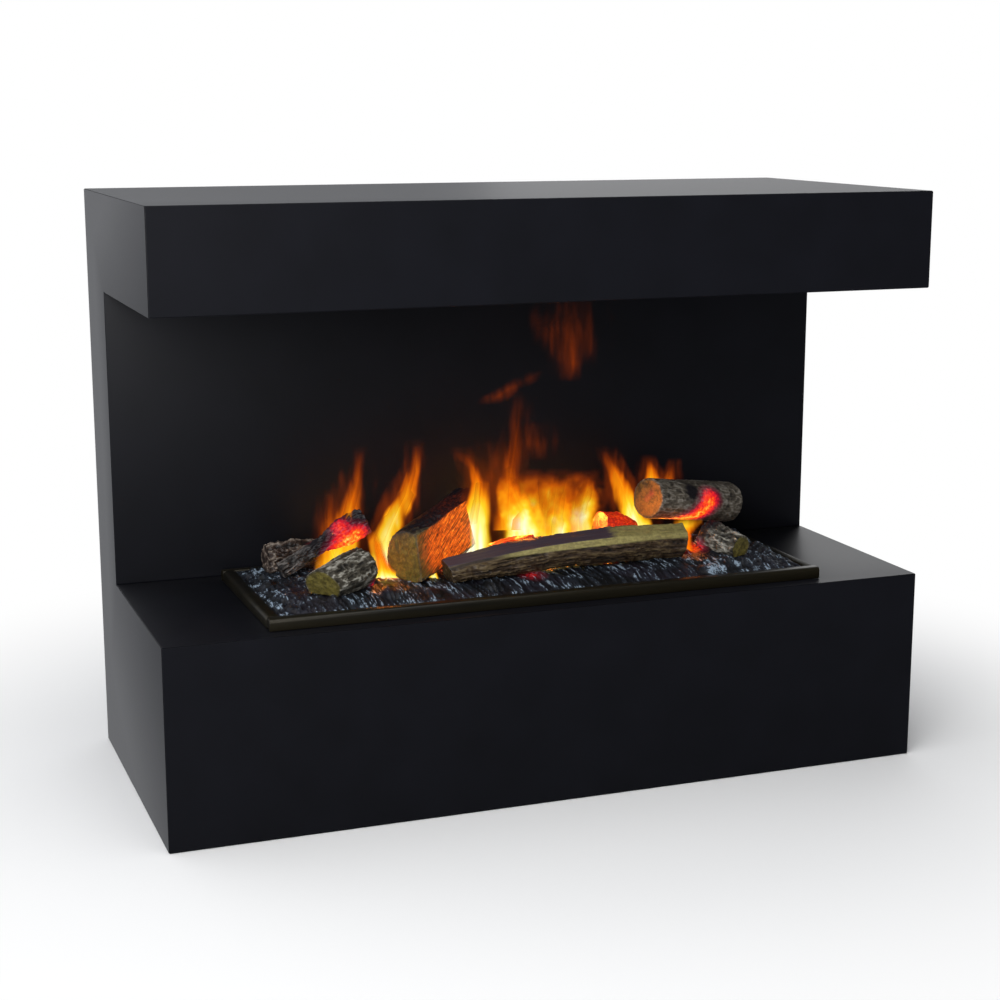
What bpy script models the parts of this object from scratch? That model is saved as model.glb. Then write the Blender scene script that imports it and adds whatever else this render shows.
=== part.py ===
"""Electric mist fireplace: a cassette fire with a log set in a wall-hung, three-sided surround.

Units are metres and +Z is up. The origin is the middle of the surround's footprint, on the plane it
stands on: the front faces -Y and the wall is at y = +DEPTH / 2.
"""

import math

import bmesh
import bpy
from mathutils import Matrix, Vector

# Overall sizes of the surround.
WIDTH = 1.000
HEIGHT = 0.750
HOOD_HEIGHT = 0.123
HEARTH_HEIGHT = 0.250
COLUMN_DEPTH = 0.130

# Boards of the surround.
BOARD = 0.018
GAP = 0.0003
FIT = 0.0005
REAR_RECESS = 0.018
REAR_BOARD = 0.008
RIB_FROM_MIDDLE = 0.240

# The cassette let into the hearth. Its own frame has its origin on the hearth's top, at its middle.
FRONT_MARGIN = 0.022
BACK_MARGIN = 0.022
TRIM_LENGTH = 0.735
TRIM_WIDTH = 0.266
TRIM_BAR = 0.014
TRIM_HEIGHT = 0.015
TRIM_REBATE = 0.007
TRIM_OVERHANG = 0.0175
CUTOUT_PLAY = 0.002
HOUSING_DEPTH = 0.185
SHEET = 0.002
FLANGE = 0.0095

# The fuel bed and its slot for the mist.
BED_PLAY = 0.001
BED_SKIN = 0.008
BED_CROWN = 0.010
BED_END_RISE = 0.004
SLOT_LEFT = -0.262
SLOT_RIGHT = 0.192
SLOT_WIDTH = 0.030
SLOT_Y = 0.025
LOG_SEAT = 0.001

# Water, mist and air inside the cassette.
BASIN_LEFT = -0.290
BASIN_RIGHT = 0.342
BASIN_WIDTH = 0.120
BASIN_HEIGHT = 0.093
BASIN_WALL = 0.0025
NOZZLE_ABOVE_HEARTH = 0.0015
TANK_LENGTH = 0.140
TANK_WIDTH = 0.200
TANK_HEIGHT = 0.060
TANK_WALL = 0.0025
NECK_RADIUS = 0.020
NECK_LENGTH = 0.018
NECK_WALL = 0.0025
VALVE_TRAVEL = 0.004
TRANSDUCER_RADIUS = 0.016
FLOAT_RADIUS = 0.013
FLOAT_HEIGHT = 0.016
STEM_RADIUS = 0.003
FAN_SIDE = 0.044
FAN_DEPTH = 0.020
FAN_BORE = 0.020
FAN_BLADES = 7

# Electrics inside the cassette.
BOX_WIDTH = 0.0555
CONTROL_LEFT = -0.020
CONTROL_RIGHT = 0.160
CONTROL_HEIGHT = 0.138
SUPPLY_LEFT = -0.270
SUPPLY_RIGHT = -0.080
SUPPLY_HEIGHT = 0.043
BUTTON_RADIUS = 0.005
BUTTON_PLAY = 0.0004
BUTTON_TRAVEL = 0.0015
BUTTON_PITCH = 0.022
ROCKER_RADIUS = 0.0085
ROCKER_WIDTH = 0.013
ROCKER_TILT = math.radians(7.0)
LAMP_RADIUS = 0.006
LAMP_PITCH = 0.140

# The back of the surround.
SERVICE_WIDTH = 0.360
SERVICE_HEIGHT = 0.150
SERVICE_BASE = 0.045
COVER_LAP = 0.018
COVER_SHEET = 0.002
SCREW_SHANK = 0.00175
SCREW_HEAD = 0.004
SCREW_LENGTH = 0.009
INLET_X = 0.360
INLET_Z = 0.085
RAIL_LENGTH = 0.600
RAIL_HEIGHT = 0.045
RAIL_JOINT_Z = 0.655

# Sizes that follow from the ones above. The surround is as deep as the cassette and column need.
DEPTH = FRONT_MARGIN + TRIM_WIDTH + BACK_MARGIN + COLUMN_DEPTH
FRONT = -DEPTH / 2
WALL = DEPTH / 2
COLUMN_FRONT = WALL - COLUMN_DEPTH
MITRE_INSET = GAP / math.sqrt(2.0)
CASSETTE_Y = FRONT + FRONT_MARGIN + TRIM_WIDTH / 2
HOUSING_X = TRIM_LENGTH / 2 - TRIM_OVERHANG
HOUSING_Y = TRIM_WIDTH / 2 - TRIM_OVERHANG
HOUSING_FLOOR = SHEET - HOUSING_DEPTH
FLANGE_TOP = GAP + SHEET
BED_BASE = FLANGE_TOP + GAP
BED_X = TRIM_LENGTH / 2 - TRIM_BAR - BED_PLAY
BED_Y = TRIM_WIDTH / 2 - TRIM_BAR - BED_PLAY
BED_EDGE = TRIM_HEIGHT - 0.002
BASIN_FLOOR = HOUSING_FLOOR + GAP + BASIN_WALL
BASIN_RIM = HOUSING_FLOOR + GAP + BASIN_HEIGHT
FRONT_STRIP_Y = -HOUSING_Y + SHEET + 0.003 + BOX_WIDTH / 2
CONTROL_TOP = HOUSING_FLOOR + GAP + CONTROL_HEIGHT
TANK_X = BASIN_RIGHT - 0.002 - TANK_LENGTH / 2
TANK_BASE = BASIN_RIM + GAP
FAN_X = BASIN_LEFT - 0.0045 - FAN_DEPTH / 2
FAN_Z = BASIN_RIM - FAN_SIDE / 2 - 0.001
REAR_FACE = WALL - REAR_RECESS


def clear_scene():
    """Remove every object of the open file."""
    for item in list(bpy.data.objects):
        bpy.data.objects.remove(item, do_unlink=True)


def make_material(name, colour, roughness, metallic=0.0):
    """Return a Principled material with one colour, roughness and metallic value."""
    material = bpy.data.materials.new(name)
    material.use_nodes = True
    shader = material.node_tree.nodes["Principled BSDF"]
    shader.inputs["Base Color"].default_value = (*colour, 1.0)
    shader.inputs["Roughness"].default_value = roughness
    shader.inputs["Metallic"].default_value = metallic
    return material


def make_empty(name, location, parent=None):
    """Return an empty that carries the pieces of one assembly."""
    empty = bpy.data.objects.new(name, None)
    empty.location = location
    empty.parent = parent
    bpy.context.collection.objects.link(empty)
    return empty


def add_piece(name, shape, material, parent=None, location=(0.0, 0.0, 0.0), rotation=(0.0, 0.0, 0.0)):
    """Turn a bmesh into an object with outward faces and put it in its place."""
    bmesh.ops.recalc_face_normals(shape, faces=shape.faces)
    mesh = bpy.data.meshes.new(name)
    shape.to_mesh(mesh)
    shape.free()
    piece = bpy.data.objects.new(name, mesh)
    piece.location = location
    piece.rotation_euler = rotation
    piece.parent = parent
    if material is not None:
        mesh.materials.append(material)
    bpy.context.collection.objects.link(piece)
    return piece


def shade_round(piece, degrees=35.0):
    """Shade a turned piece smooth and keep its corners sharp."""
    piece.data.shade_smooth()
    piece.data.set_sharp_from_angle(angle=math.radians(degrees))
    return piece


def combine(target, shape, operation, location=(0.0, 0.0, 0.0), rotation=(0.0, 0.0, 0.0)):
    """Cut a shape out of a piece, or add it, with a Boolean modifier and a hidden guide."""
    count = len(target.modifiers)
    guide = add_piece(f"{target.name}_guide_{count}", shape, None, target, location, rotation)
    guide.hide_render = True
    guide.display_type = "WIRE"
    modifier = target.modifiers.new(f"{operation.lower()}_{count}", "BOOLEAN")
    modifier.operation = operation
    modifier.object = guide
    return target


def add_block(shape, low, high):
    """Add a closed block between two corners to a bmesh."""
    corners = [shape.verts.new((x, y, z)) for z in (low[2], high[2]) for x, y in (
        (low[0], low[1]), (high[0], low[1]), (high[0], high[1]), (low[0], high[1]))]
    shape.faces.new(corners[:4][::-1])
    shape.faces.new(corners[4:])
    for side in range(4):
        after = (side + 1) % 4
        shape.faces.new((corners[side], corners[after], corners[after + 4], corners[side + 4]))


def block(low, high):
    """Return one closed block."""
    shape = bmesh.new()
    add_block(shape, low, high)
    return shape


def blocks(pairs):
    """Return several separate blocks in one bmesh, for cuts that repeat."""
    shape = bmesh.new()
    for low, high in pairs:
        add_block(shape, low, high)
    return shape


def bridge(shape, first, second):
    """Join two loops of vertices with quads."""
    count = len(first)
    for index in range(count):
        after = (index + 1) % count
        shape.faces.new((first[index], first[after], second[after], second[index]))


def loft(loops, closed_ring=False):
    """Join loops of points in order; the ends are capped, or meet each other in a ring."""
    shape = bmesh.new()
    rings = [[shape.verts.new(point) for point in loop] for loop in loops]
    for first, second in zip(rings, rings[1:]):
        bridge(shape, first, second)
    if closed_ring:
        bridge(shape, rings[-1], rings[0])
    else:
        shape.faces.new(rings[0][::-1])
        shape.faces.new(rings[-1])
    return shape


def rectangle(half_x, half_y, z, centre_x=0.0, centre_y=0.0):
    """Return the four corners of a level rectangle."""
    return [(centre_x + sx * half_x, centre_y + sy * half_y, z)
            for sx, sy in ((-1, -1), (1, -1), (1, 1), (-1, 1))]


def turned(profile, segments=24):
    """Revolve (radius, z) points about Z; points at radius 0 close the body on its axis."""
    shape = bmesh.new()
    rings = []
    for radius, z in profile:
        if radius == 0.0:
            rings.append([shape.verts.new((0.0, 0.0, z))])
            continue
        turns = [2.0 * math.pi * step / segments for step in range(segments)]
        rings.append([shape.verts.new((radius * math.cos(a), radius * math.sin(a), z)) for a in turns])
    closed = profile[0][0] > 0.0
    pairs = list(zip(rings, rings[1:])) + ([(rings[-1], rings[0])] if closed else [])
    for first, second in pairs:
        if len(first) == 1 or len(second) == 1:
            tip, ring = (first[0], second) if len(first) == 1 else (second[0], first)
            for step in range(segments):
                shape.faces.new((tip, ring[step], ring[(step + 1) % segments]))
        else:
            bridge(shape, first, second)
    return shape


def rod(radius, low, high, segments=24):
    """Return a plain cylinder along Z."""
    return turned([(0.0, low), (radius, low), (radius, high), (0.0, high)], segments)


def extruded(outline, low, high, axis):
    """Extrude an outline along X or Y; its points are (y, z) or (x, z)."""
    def place(point, along):
        first, second = point
        return (along, first, second) if axis == "X" else (first, along, second)
    return loft([[place(point, along) for point in outline] for along in (low, high)])


# --- the surround ---------------------------------------------------------------------------------

def side_outline():
    """Return the (y, z) corners of the C-shaped side, anticlockwise from the bottom front."""
    hood_base = HEIGHT - HOOD_HEIGHT
    return [(FRONT, 0.0), (WALL, 0.0), (WALL, HEIGHT), (FRONT, HEIGHT), (FRONT, hood_base),
            (COLUMN_FRONT, hood_base), (COLUMN_FRONT, HEARTH_HEIGHT), (FRONT, HEARTH_HEIGHT)]


REAR_EDGE = 1


def inset_outline(outline, distance):
    """Move every edge of the outline inwards, except the open rear edge at the wall."""
    count = len(outline)
    moves = []
    for index in range(count):
        (y0, z0), (y1, z1) = outline[index], outline[(index + 1) % count]
        length = math.hypot(y1 - y0, z1 - z0)
        step = 0.0 if index == REAR_EDGE else distance
        moves.append((-(z1 - z0) / length * step, (y1 - y0) / length * step))
    return [(y + moves[index][0] + moves[index - 1][0], z + moves[index][1] + moves[index - 1][1])
            for index, (y, z) in enumerate(outline)]


def build_side_panel(name, side, material):
    """Build one C-shaped side board, mitred all round and square at the wall."""
    outline = side_outline()
    outer = [(side * WIDTH / 2, y, z) for y, z in inset_outline(outline, MITRE_INSET)]
    inner_x = side * (WIDTH / 2 - BOARD)
    inner = [(inner_x, y, z) for y, z in inset_outline(outline, BOARD + MITRE_INSET)]
    return add_piece(name, loft([outer, inner]), material)


def build_cross_panel(name, edge, material):
    """Build the board along one edge of the side's outline, mitred at its joints."""
    outline = side_outline()
    inside = inset_outline(outline, BOARD)
    after = (edge + 1) % len(outline)
    start_inset = 0.0 if edge == REAR_EDGE + 1 else MITRE_INSET
    end_inset = 0.0 if after == REAR_EDGE else MITRE_INSET
    loops = []
    for points, half in ((outline, WIDTH / 2), (inside, WIDTH / 2 - BOARD)):
        first = Vector(points[edge])
        last = Vector(points[after])
        along = (last - first).normalized()
        first += along * start_inset
        last -= along * end_inset
        reach = half - MITRE_INSET
        loops.append([(-reach, *first), (reach, *first), (reach, *last), (-reach, *last)])
    return add_piece(name, loft(loops), material)


def build_surround(material, raw_board):
    """Build the boards of the surround, the rear board and the two ribs of the column."""
    build_side_panel("side_panel_left", -1, material)
    build_side_panel("side_panel_right", 1, material)
    names = {0: "base_bottom_panel", 2: "hood_top_panel", 3: "hood_front_panel", 4: "hood_soffit_panel",
             5: "fire_back_panel", 6: "hearth_top_panel", 7: "hearth_front_panel"}
    panels = {name: build_cross_panel(name, edge, material) for edge, name in names.items()}
    cut_cassette_opening(panels["hearth_top_panel"])
    cut_base_vents(panels["base_bottom_panel"])
    build_rear_board(raw_board)
    for name, side in (("column_rib_left", -1), ("column_rib_right", 1)):
        build_rib(name, side, raw_board)


def cut_cassette_opening(panel):
    """Cut the opening that the cassette drops into."""
    half_x = HOUSING_X + CUTOUT_PLAY
    half_y = HOUSING_Y + CUTOUT_PLAY
    low = (-half_x, CASSETTE_Y - half_y, HEARTH_HEIGHT - 2 * BOARD)
    high = (half_x, CASSETTE_Y + half_y, HEARTH_HEIGHT + BOARD)
    combine(panel, block(low, high), "DIFFERENCE")


def cut_base_vents(panel):
    """Cut a row of air slots through the bottom board, below the cassette."""
    slot_length, slot_width, pitch, count = 0.060, 0.008, 0.090, 7
    starts = [(step - (count - 1) / 2) * pitch - slot_length / 2 for step in range(count)]
    front = CASSETTE_Y - slot_width / 2
    back = CASSETTE_Y + slot_width / 2
    cuts = [((x, front, -BOARD), (x + slot_length, back, 2 * BOARD)) for x in starts]
    combine(panel, blocks(cuts), "DIFFERENCE")


def screw_places():
    """Return the (x, z) centres of the service cover's four screws."""
    half = (SERVICE_WIDTH + COVER_LAP) / 2
    middle = SERVICE_BASE + SERVICE_HEIGHT / 2
    rise = (SERVICE_HEIGHT + COVER_LAP) / 2
    return [(sx * half, middle + sz * rise) for sz in (-1, 1) for sx in (-1, 1)]


def build_rear_board(material):
    """Build the board let in behind the column, with its service opening and inlet hole."""
    half_x = WIDTH / 2 - BOARD - FIT
    low = (-half_x, REAR_FACE - REAR_BOARD, BOARD + FIT)
    high = (half_x, REAR_FACE, HEIGHT - BOARD - FIT)
    board = add_piece("rear_board", block(low, high), material)
    cuts = [((-SERVICE_WIDTH / 2, REAR_FACE - 0.05, SERVICE_BASE),
             (SERVICE_WIDTH / 2, REAR_FACE + 0.05, SERVICE_BASE + SERVICE_HEIGHT)),
            ((INLET_X - 0.0145, REAR_FACE - 0.05, INLET_Z - 0.0105),
             (INLET_X + 0.0145, REAR_FACE + 0.05, INLET_Z + 0.0105))]
    combine(board, blocks(cuts), "DIFFERENCE")
    drill_screw_holes(board)


def drill_screw_holes(piece):
    """Drill the four holes that the cover's screws pass through."""
    turn = (math.radians(90.0), 0.0, 0.0)
    for x, z in screw_places():
        combine(piece, rod(SCREW_SHANK + GAP, -0.03, 0.03, 12), "DIFFERENCE", (x, REAR_FACE, z), turn)


def build_rib(name, side, material):
    """Build one upright board that ties the fire's back panel to the rear board."""
    middle = side * RIB_FROM_MIDDLE
    low = (middle - BOARD / 2, COLUMN_FRONT + BOARD + GAP, BOARD + GAP)
    high = (middle + BOARD / 2, REAR_FACE - REAR_BOARD - GAP, HEIGHT - BOARD - GAP)
    return add_piece(name, block(low, high), material)


# --- the back: service cover, screws, inlet and rails ----------------------------------------------

def build_service_cover(material):
    """Build the louvred sheet over the service opening."""
    half_x = SERVICE_WIDTH / 2 + COVER_LAP
    low = (-half_x, REAR_FACE + GAP, SERVICE_BASE - COVER_LAP)
    high = (half_x, REAR_FACE + GAP + COVER_SHEET, SERVICE_BASE + SERVICE_HEIGHT + COVER_LAP)
    cover = add_piece("rear_service_cover", block(low, high), material)
    slot_half, slot_height, pitch, rows = 0.120, 0.006, 0.018, 6
    base = SERVICE_BASE + SERVICE_HEIGHT / 2 - pitch * (rows - 1) / 2
    cuts = [((-slot_half, REAR_FACE - 0.01, base + row * pitch - slot_height / 2),
             (slot_half, REAR_FACE + 0.02, base + row * pitch + slot_height / 2)) for row in range(rows)]
    combine(cover, blocks(cuts), "DIFFERENCE")
    drill_screw_holes(cover)


def build_cover_screws(material):
    """Build the four pan-head screws of the service cover."""
    seat = GAP + COVER_SHEET + GAP
    profile = [(0.0, seat - SCREW_LENGTH), (SCREW_SHANK, seat - SCREW_LENGTH), (SCREW_SHANK, seat),
               (SCREW_HEAD, seat), (SCREW_HEAD, seat + 0.0012), (SCREW_HEAD * 0.7, seat + 0.0024),
               (0.0, seat + 0.0026)]
    turn = (math.radians(-90.0), 0.0, 0.0)
    for number, (x, z) in enumerate(screw_places(), start=1):
        place = (x, REAR_FACE, z)
        screw = add_piece(f"cover_screw_{number}", turned(profile, 12), material, None, place, turn)
        shade_round(screw)


def build_power_inlet(material):
    """Build the mains inlet: a flange, a body through the board and a socket with three pins."""
    centre = (INLET_X, REAR_FACE, INLET_Z)
    inlet = add_piece("power_inlet", block((-0.018, GAP, -0.014), (0.018, 0.0035, 0.014)), material,
                      None, centre)
    combine(inlet, block((-0.0140, -0.018, -0.0100), (0.0140, 0.002, 0.0100)), "UNION")
    combine(inlet, block((-0.0120, -0.015, -0.0080), (0.0120, 0.010, 0.0080)), "DIFFERENCE")
    pins = [((x - 0.0011, -0.0165, z - 0.002), (x + 0.0011, 0.0015, z + 0.002))
            for x, z in ((-0.0065, -0.001), (0.0, 0.002), (0.0065, -0.001))]
    combine(inlet, blocks(pins), "UNION")


def build_rails(material):
    """Build the two bevelled rails: one on the rear board hooks over the one on the wall."""
    near = REAR_FACE + GAP
    slope = WALL - near
    top = RAIL_JOINT_Z + RAIL_HEIGHT
    hanging = [(near, RAIL_JOINT_Z + slope), (WALL - GAP, RAIL_JOINT_Z + GAP), (WALL - GAP, top), (near, top)]
    half = RAIL_LENGTH / 2
    add_piece("hanging_rail", extruded(hanging, -half, half, "X"), material)
    drop = 2 * GAP
    wall = [(near + GAP, RAIL_JOINT_Z - RAIL_HEIGHT), (WALL, RAIL_JOINT_Z - RAIL_HEIGHT),
            (WALL, RAIL_JOINT_Z - drop), (near + GAP, RAIL_JOINT_Z + slope - GAP - drop)]
    add_piece("wall_rail", extruded(wall, -half, half, "X"), material)


# --- the cassette: trim, housing and what it holds --------------------------------------------------

def build_trim(cassette, material):
    """Build the four bars of the raised frame; their rebates cover the housing's flange."""
    def section(outer):
        inner = outer - TRIM_REBATE
        lip = outer - TRIM_BAR
        return [(outer, GAP), (inner, GAP), (inner, BED_BASE), (lip, BED_BASE),
                (lip, TRIM_HEIGHT), (outer, TRIM_HEIGHT)]
    half_x = TRIM_LENGTH / 2
    half_y = TRIM_WIDTH / 2
    back = section(half_y)
    front = [(-y, z) for y, z in back]
    add_piece("trim_bar_back", extruded(back, -half_x, half_x, "X"), material, cassette)
    add_piece("trim_bar_front", extruded(front, -half_x, half_x, "X"), material, cassette)
    reach = half_y - TRIM_BAR - GAP
    right = section(half_x)
    left = [(-x, z) for x, z in right]
    add_piece("trim_bar_right", extruded(right, -reach, reach, "Y"), material, cassette)
    add_piece("trim_bar_left", extruded(left, -reach, reach, "Y"), material, cassette)


def build_housing(cassette, material):
    """Build the sheet-metal well with its flange and the air slots beside the fan."""
    wall_x = HOUSING_X - SHEET
    wall_y = HOUSING_Y - SHEET
    loops = [rectangle(HOUSING_X, HOUSING_Y, -HOUSING_DEPTH), rectangle(HOUSING_X, HOUSING_Y, GAP),
             rectangle(HOUSING_X + FLANGE, HOUSING_Y + FLANGE, GAP),
             rectangle(HOUSING_X + FLANGE, HOUSING_Y + FLANGE, FLANGE_TOP),
             rectangle(wall_x, wall_y, FLANGE_TOP), rectangle(wall_x, wall_y, HOUSING_FLOOR)]
    housing = add_piece("cassette_housing", loft(loops), material, cassette)
    slot, pitch, rows = 0.004, 0.009, 4
    base = FAN_Z - pitch * (rows - 1) / 2
    cuts = [((-HOUSING_X - 0.01, SLOT_Y - FAN_BORE, base + row * pitch - slot / 2),
             (-HOUSING_X + 0.01, SLOT_Y + FAN_BORE, base + row * pitch + slot / 2)) for row in range(rows)]
    combine(housing, blocks(cuts), "DIFFERENCE")


def build_basin(cassette, material):
    """Build the open water basin, with the fan's air hole and the post that lifts the tank's valve."""
    middle = (BASIN_LEFT + BASIN_RIGHT) / 2
    half_x = (BASIN_RIGHT - BASIN_LEFT) / 2
    half_y = BASIN_WIDTH / 2
    base = HOUSING_FLOOR + GAP
    loops = [rectangle(half_x, half_y, base, middle, SLOT_Y),
             rectangle(half_x, half_y, BASIN_RIM, middle, SLOT_Y),
             rectangle(half_x - BASIN_WALL, half_y - BASIN_WALL, BASIN_RIM, middle, SLOT_Y),
             rectangle(half_x - BASIN_WALL, half_y - BASIN_WALL, BASIN_FLOOR, middle, SLOT_Y)]
    basin = add_piece("sump_basin", loft(loops), material, cassette)
    turn = (0.0, math.radians(90.0), 0.0)
    combine(basin, rod(FAN_BORE - 0.002, -0.01, 0.01), "DIFFERENCE", (BASIN_LEFT, SLOT_Y, FAN_Z), turn)
    post_top = valve_foot() - GAP
    combine(basin, rod(0.006, base + 0.001, post_top, 16), "UNION", (TANK_X, SLOT_Y, 0.0))


def build_transducers(cassette, material):
    """Build the two ultrasonic transducers on the basin's floor."""
    rim = TRANSDUCER_RADIUS
    profile = [(0.0, 0.0), (rim, 0.0), (rim, 0.009), (rim * 0.75, 0.009), (rim * 0.62, 0.006), (0.0, 0.006)]
    for number, share in enumerate((0.2, 0.5), start=1):
        x = BASIN_LEFT + share * (BASIN_RIGHT - BASIN_LEFT)
        piece = add_piece(f"mist_transducer_{number}", turned(profile, 20), material, cassette,
                          (x, SLOT_Y, BASIN_FLOOR + GAP))
        shade_round(piece)


def build_float(cassette, stem_material, float_material):
    """Build the level switch: a fixed stem and the ring that floats on it."""
    x = SLOT_RIGHT - 0.032
    foot = BASIN_FLOOR + GAP
    stem_top = BASIN_RIM - 0.006
    profile = [(0.0, foot), (0.008, foot), (0.008, foot + 0.004), (STEM_RADIUS, foot + 0.004),
               (STEM_RADIUS, stem_top), (0.0, stem_top)]
    shade_round(add_piece("float_stem", turned(profile, 16), stem_material, cassette, (x, SLOT_Y, 0.0)))
    bore = STEM_RADIUS + FIT
    half = FLOAT_HEIGHT / 2
    ring = [(bore, -half), (FLOAT_RADIUS, -half), (FLOAT_RADIUS, half), (bore, half)]
    level = BASIN_RIM - 0.030
    shade_round(add_piece("level_float", turned(ring, 20), float_material, cassette, (x, SLOT_Y, level)))


def build_nozzle(cassette, material):
    """Build the hood over the basin that narrows to the bed's mist slot."""
    base_left = BASIN_LEFT
    base_right = SLOT_RIGHT + 0.002
    base_x = (base_left + base_right) / 2
    base_half = (base_right - base_left) / 2
    slot_x = (SLOT_LEFT + SLOT_RIGHT) / 2
    slot_half = (SLOT_RIGHT - SLOT_LEFT) / 2
    base = BASIN_RIM + GAP
    top = NOZZLE_ABOVE_HEARTH
    wall = SHEET
    loops = [rectangle(base_half, BASIN_WIDTH / 2, base, base_x, SLOT_Y),
             rectangle(slot_half, SLOT_WIDTH / 2, top, slot_x, SLOT_Y),
             rectangle(slot_half - wall, SLOT_WIDTH / 2 - wall, top, slot_x, SLOT_Y),
             rectangle(base_half - wall, BASIN_WIDTH / 2 - wall, base, base_x, SLOT_Y)]
    add_piece("mist_nozzle", loft(loops, closed_ring=True), material, cassette)


def build_fan(cassette, frame_material, rotor_material):
    """Build the small axial fan that pushes air over the water, and its rotor on an X axis."""
    hub = 0.0080
    half = FAN_SIDE / 2
    centre = (FAN_X, SLOT_Y, FAN_Z)
    turn = (0.0, math.radians(90.0), 0.0)
    frame = block((-FAN_DEPTH / 2, -half, -half), (FAN_DEPTH / 2, half, half))
    housing = add_piece("mist_fan_housing", frame, frame_material, cassette, centre)
    combine(housing, rod(FAN_BORE, -FAN_DEPTH, FAN_DEPTH, 32), "DIFFERENCE", (0.0, 0.0, 0.0), turn)
    strut = block((-FAN_DEPTH / 2, -half + 0.001, -0.0015), (-FAN_DEPTH / 2 + 0.003, half - 0.001, 0.0015))
    combine(housing, strut, "UNION")
    combine(housing, rod(hub, -FAN_DEPTH / 2, -FAN_DEPTH / 2 + 0.005), "UNION", (0.0, 0.0, 0.0), turn)
    low = -FAN_DEPTH / 2 + 0.006
    high = FAN_DEPTH / 2 - 0.002
    rotor = add_piece("mist_fan_rotor", rod(hub, low, high), rotor_material, cassette, centre, turn)
    for number in range(FAN_BLADES):
        blade = block((hub - 0.0015, -0.0006, low + 0.001), (FAN_BORE - 0.001, 0.0006, high - 0.001))
        pitch = Matrix.Rotation(math.radians(32.0), 4, "X")
        place = Matrix.Translation((0.0, 0.0, (low + high) / 2))
        bmesh.ops.transform(blade, verts=blade.verts, matrix=place @ pitch @ place.inverted())
        combine(rotor, blade, "UNION", (0.0, 0.0, 0.0), (0.0, 0.0, 2.0 * math.pi * number / FAN_BLADES))


def build_air_filter(cassette, material):
    """Build the coarse filter in front of the fan's inlet."""
    half = FAN_SIDE / 2
    thick = 0.004
    rib, cells = 0.003, 3
    pitch = (FAN_SIDE - rib) / cells
    x = FAN_X - FAN_DEPTH / 2 - 0.002 - thick
    panel = add_piece("air_filter", block((0.0, -half, -half), (thick, half, half)), material, cassette,
                      (x, SLOT_Y, FAN_Z))
    cuts = []
    for row in range(cells):
        for column in range(cells):
            y = -half + rib + column * pitch
            z = -half + rib + row * pitch
            cuts.append(((-0.01, y, z), (0.02, y + pitch - rib, z + pitch - rib)))
    combine(panel, blocks(cuts), "DIFFERENCE")


# --- the water tank, its cap and valve ---------------------------------------------------------------

def valve_foot():
    """Return the height of the valve plunger's foot with the tank seated."""
    return TANK_BASE - NECK_LENGTH - 0.008


def build_tank(cassette, material):
    """Build the hollow tank with its neck below and a grip on top."""
    tank = add_piece("water_tank", block((-TANK_LENGTH / 2, -TANK_WIDTH / 2, 0.0),
                                         (TANK_LENGTH / 2, TANK_WIDTH / 2, TANK_HEIGHT)),
                     material, cassette, (TANK_X, 0.0, TANK_BASE))
    neck = (0.0, SLOT_Y, 0.0)
    combine(tank, rod(NECK_RADIUS, -NECK_LENGTH, TANK_WALL / 2), "UNION", neck)
    inner_x = TANK_LENGTH / 2 - TANK_WALL
    inner_y = TANK_WIDTH / 2 - TANK_WALL
    room = block((-inner_x, -inner_y, TANK_WALL), (inner_x, inner_y, TANK_HEIGHT - TANK_WALL))
    combine(tank, room, "DIFFERENCE")
    combine(tank, rod(NECK_RADIUS - NECK_WALL, -NECK_LENGTH - 0.01, TANK_WALL + 0.005), "DIFFERENCE", neck)
    combine(tank, block((-0.006, -0.035, TANK_HEIGHT - 0.001), (0.006, 0.035, TANK_HEIGHT + 0.009)), "UNION")


def build_tank_cap(cassette, material):
    """Build the screw cap under the neck, with the hole that the plunger's stem passes."""
    inner = NECK_RADIUS + FIT
    outer = inner + 0.0025
    top = -0.0025
    floor_top = -NECK_LENGTH - GAP
    floor = floor_top - 0.003
    hole = 0.0045
    profile = [(outer, floor), (outer, top), (inner, top), (inner, floor_top), (hole, floor_top),
               (hole, floor)]
    cap = add_piece("tank_cap", turned(profile, 32), material, cassette, (TANK_X, SLOT_Y, TANK_BASE))
    shade_round(cap)


def build_valve_plunger(cassette, material):
    """Build the plunger, held up off its seat in the cap by the basin's post."""
    foot = valve_foot() - TANK_BASE
    head = -NECK_LENGTH - GAP + VALVE_TRAVEL + GAP
    profile = [(0.0, foot), (0.0035, foot), (0.0035, head), (0.0110, head), (0.0110, head + 0.003),
               (0.0, head + 0.006)]
    plunger = add_piece("valve_plunger", turned(profile, 20), material, cassette, (TANK_X, SLOT_Y, TANK_BASE))
    shade_round(plunger)


# --- lamps and electrics -------------------------------------------------------------------------------

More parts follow.
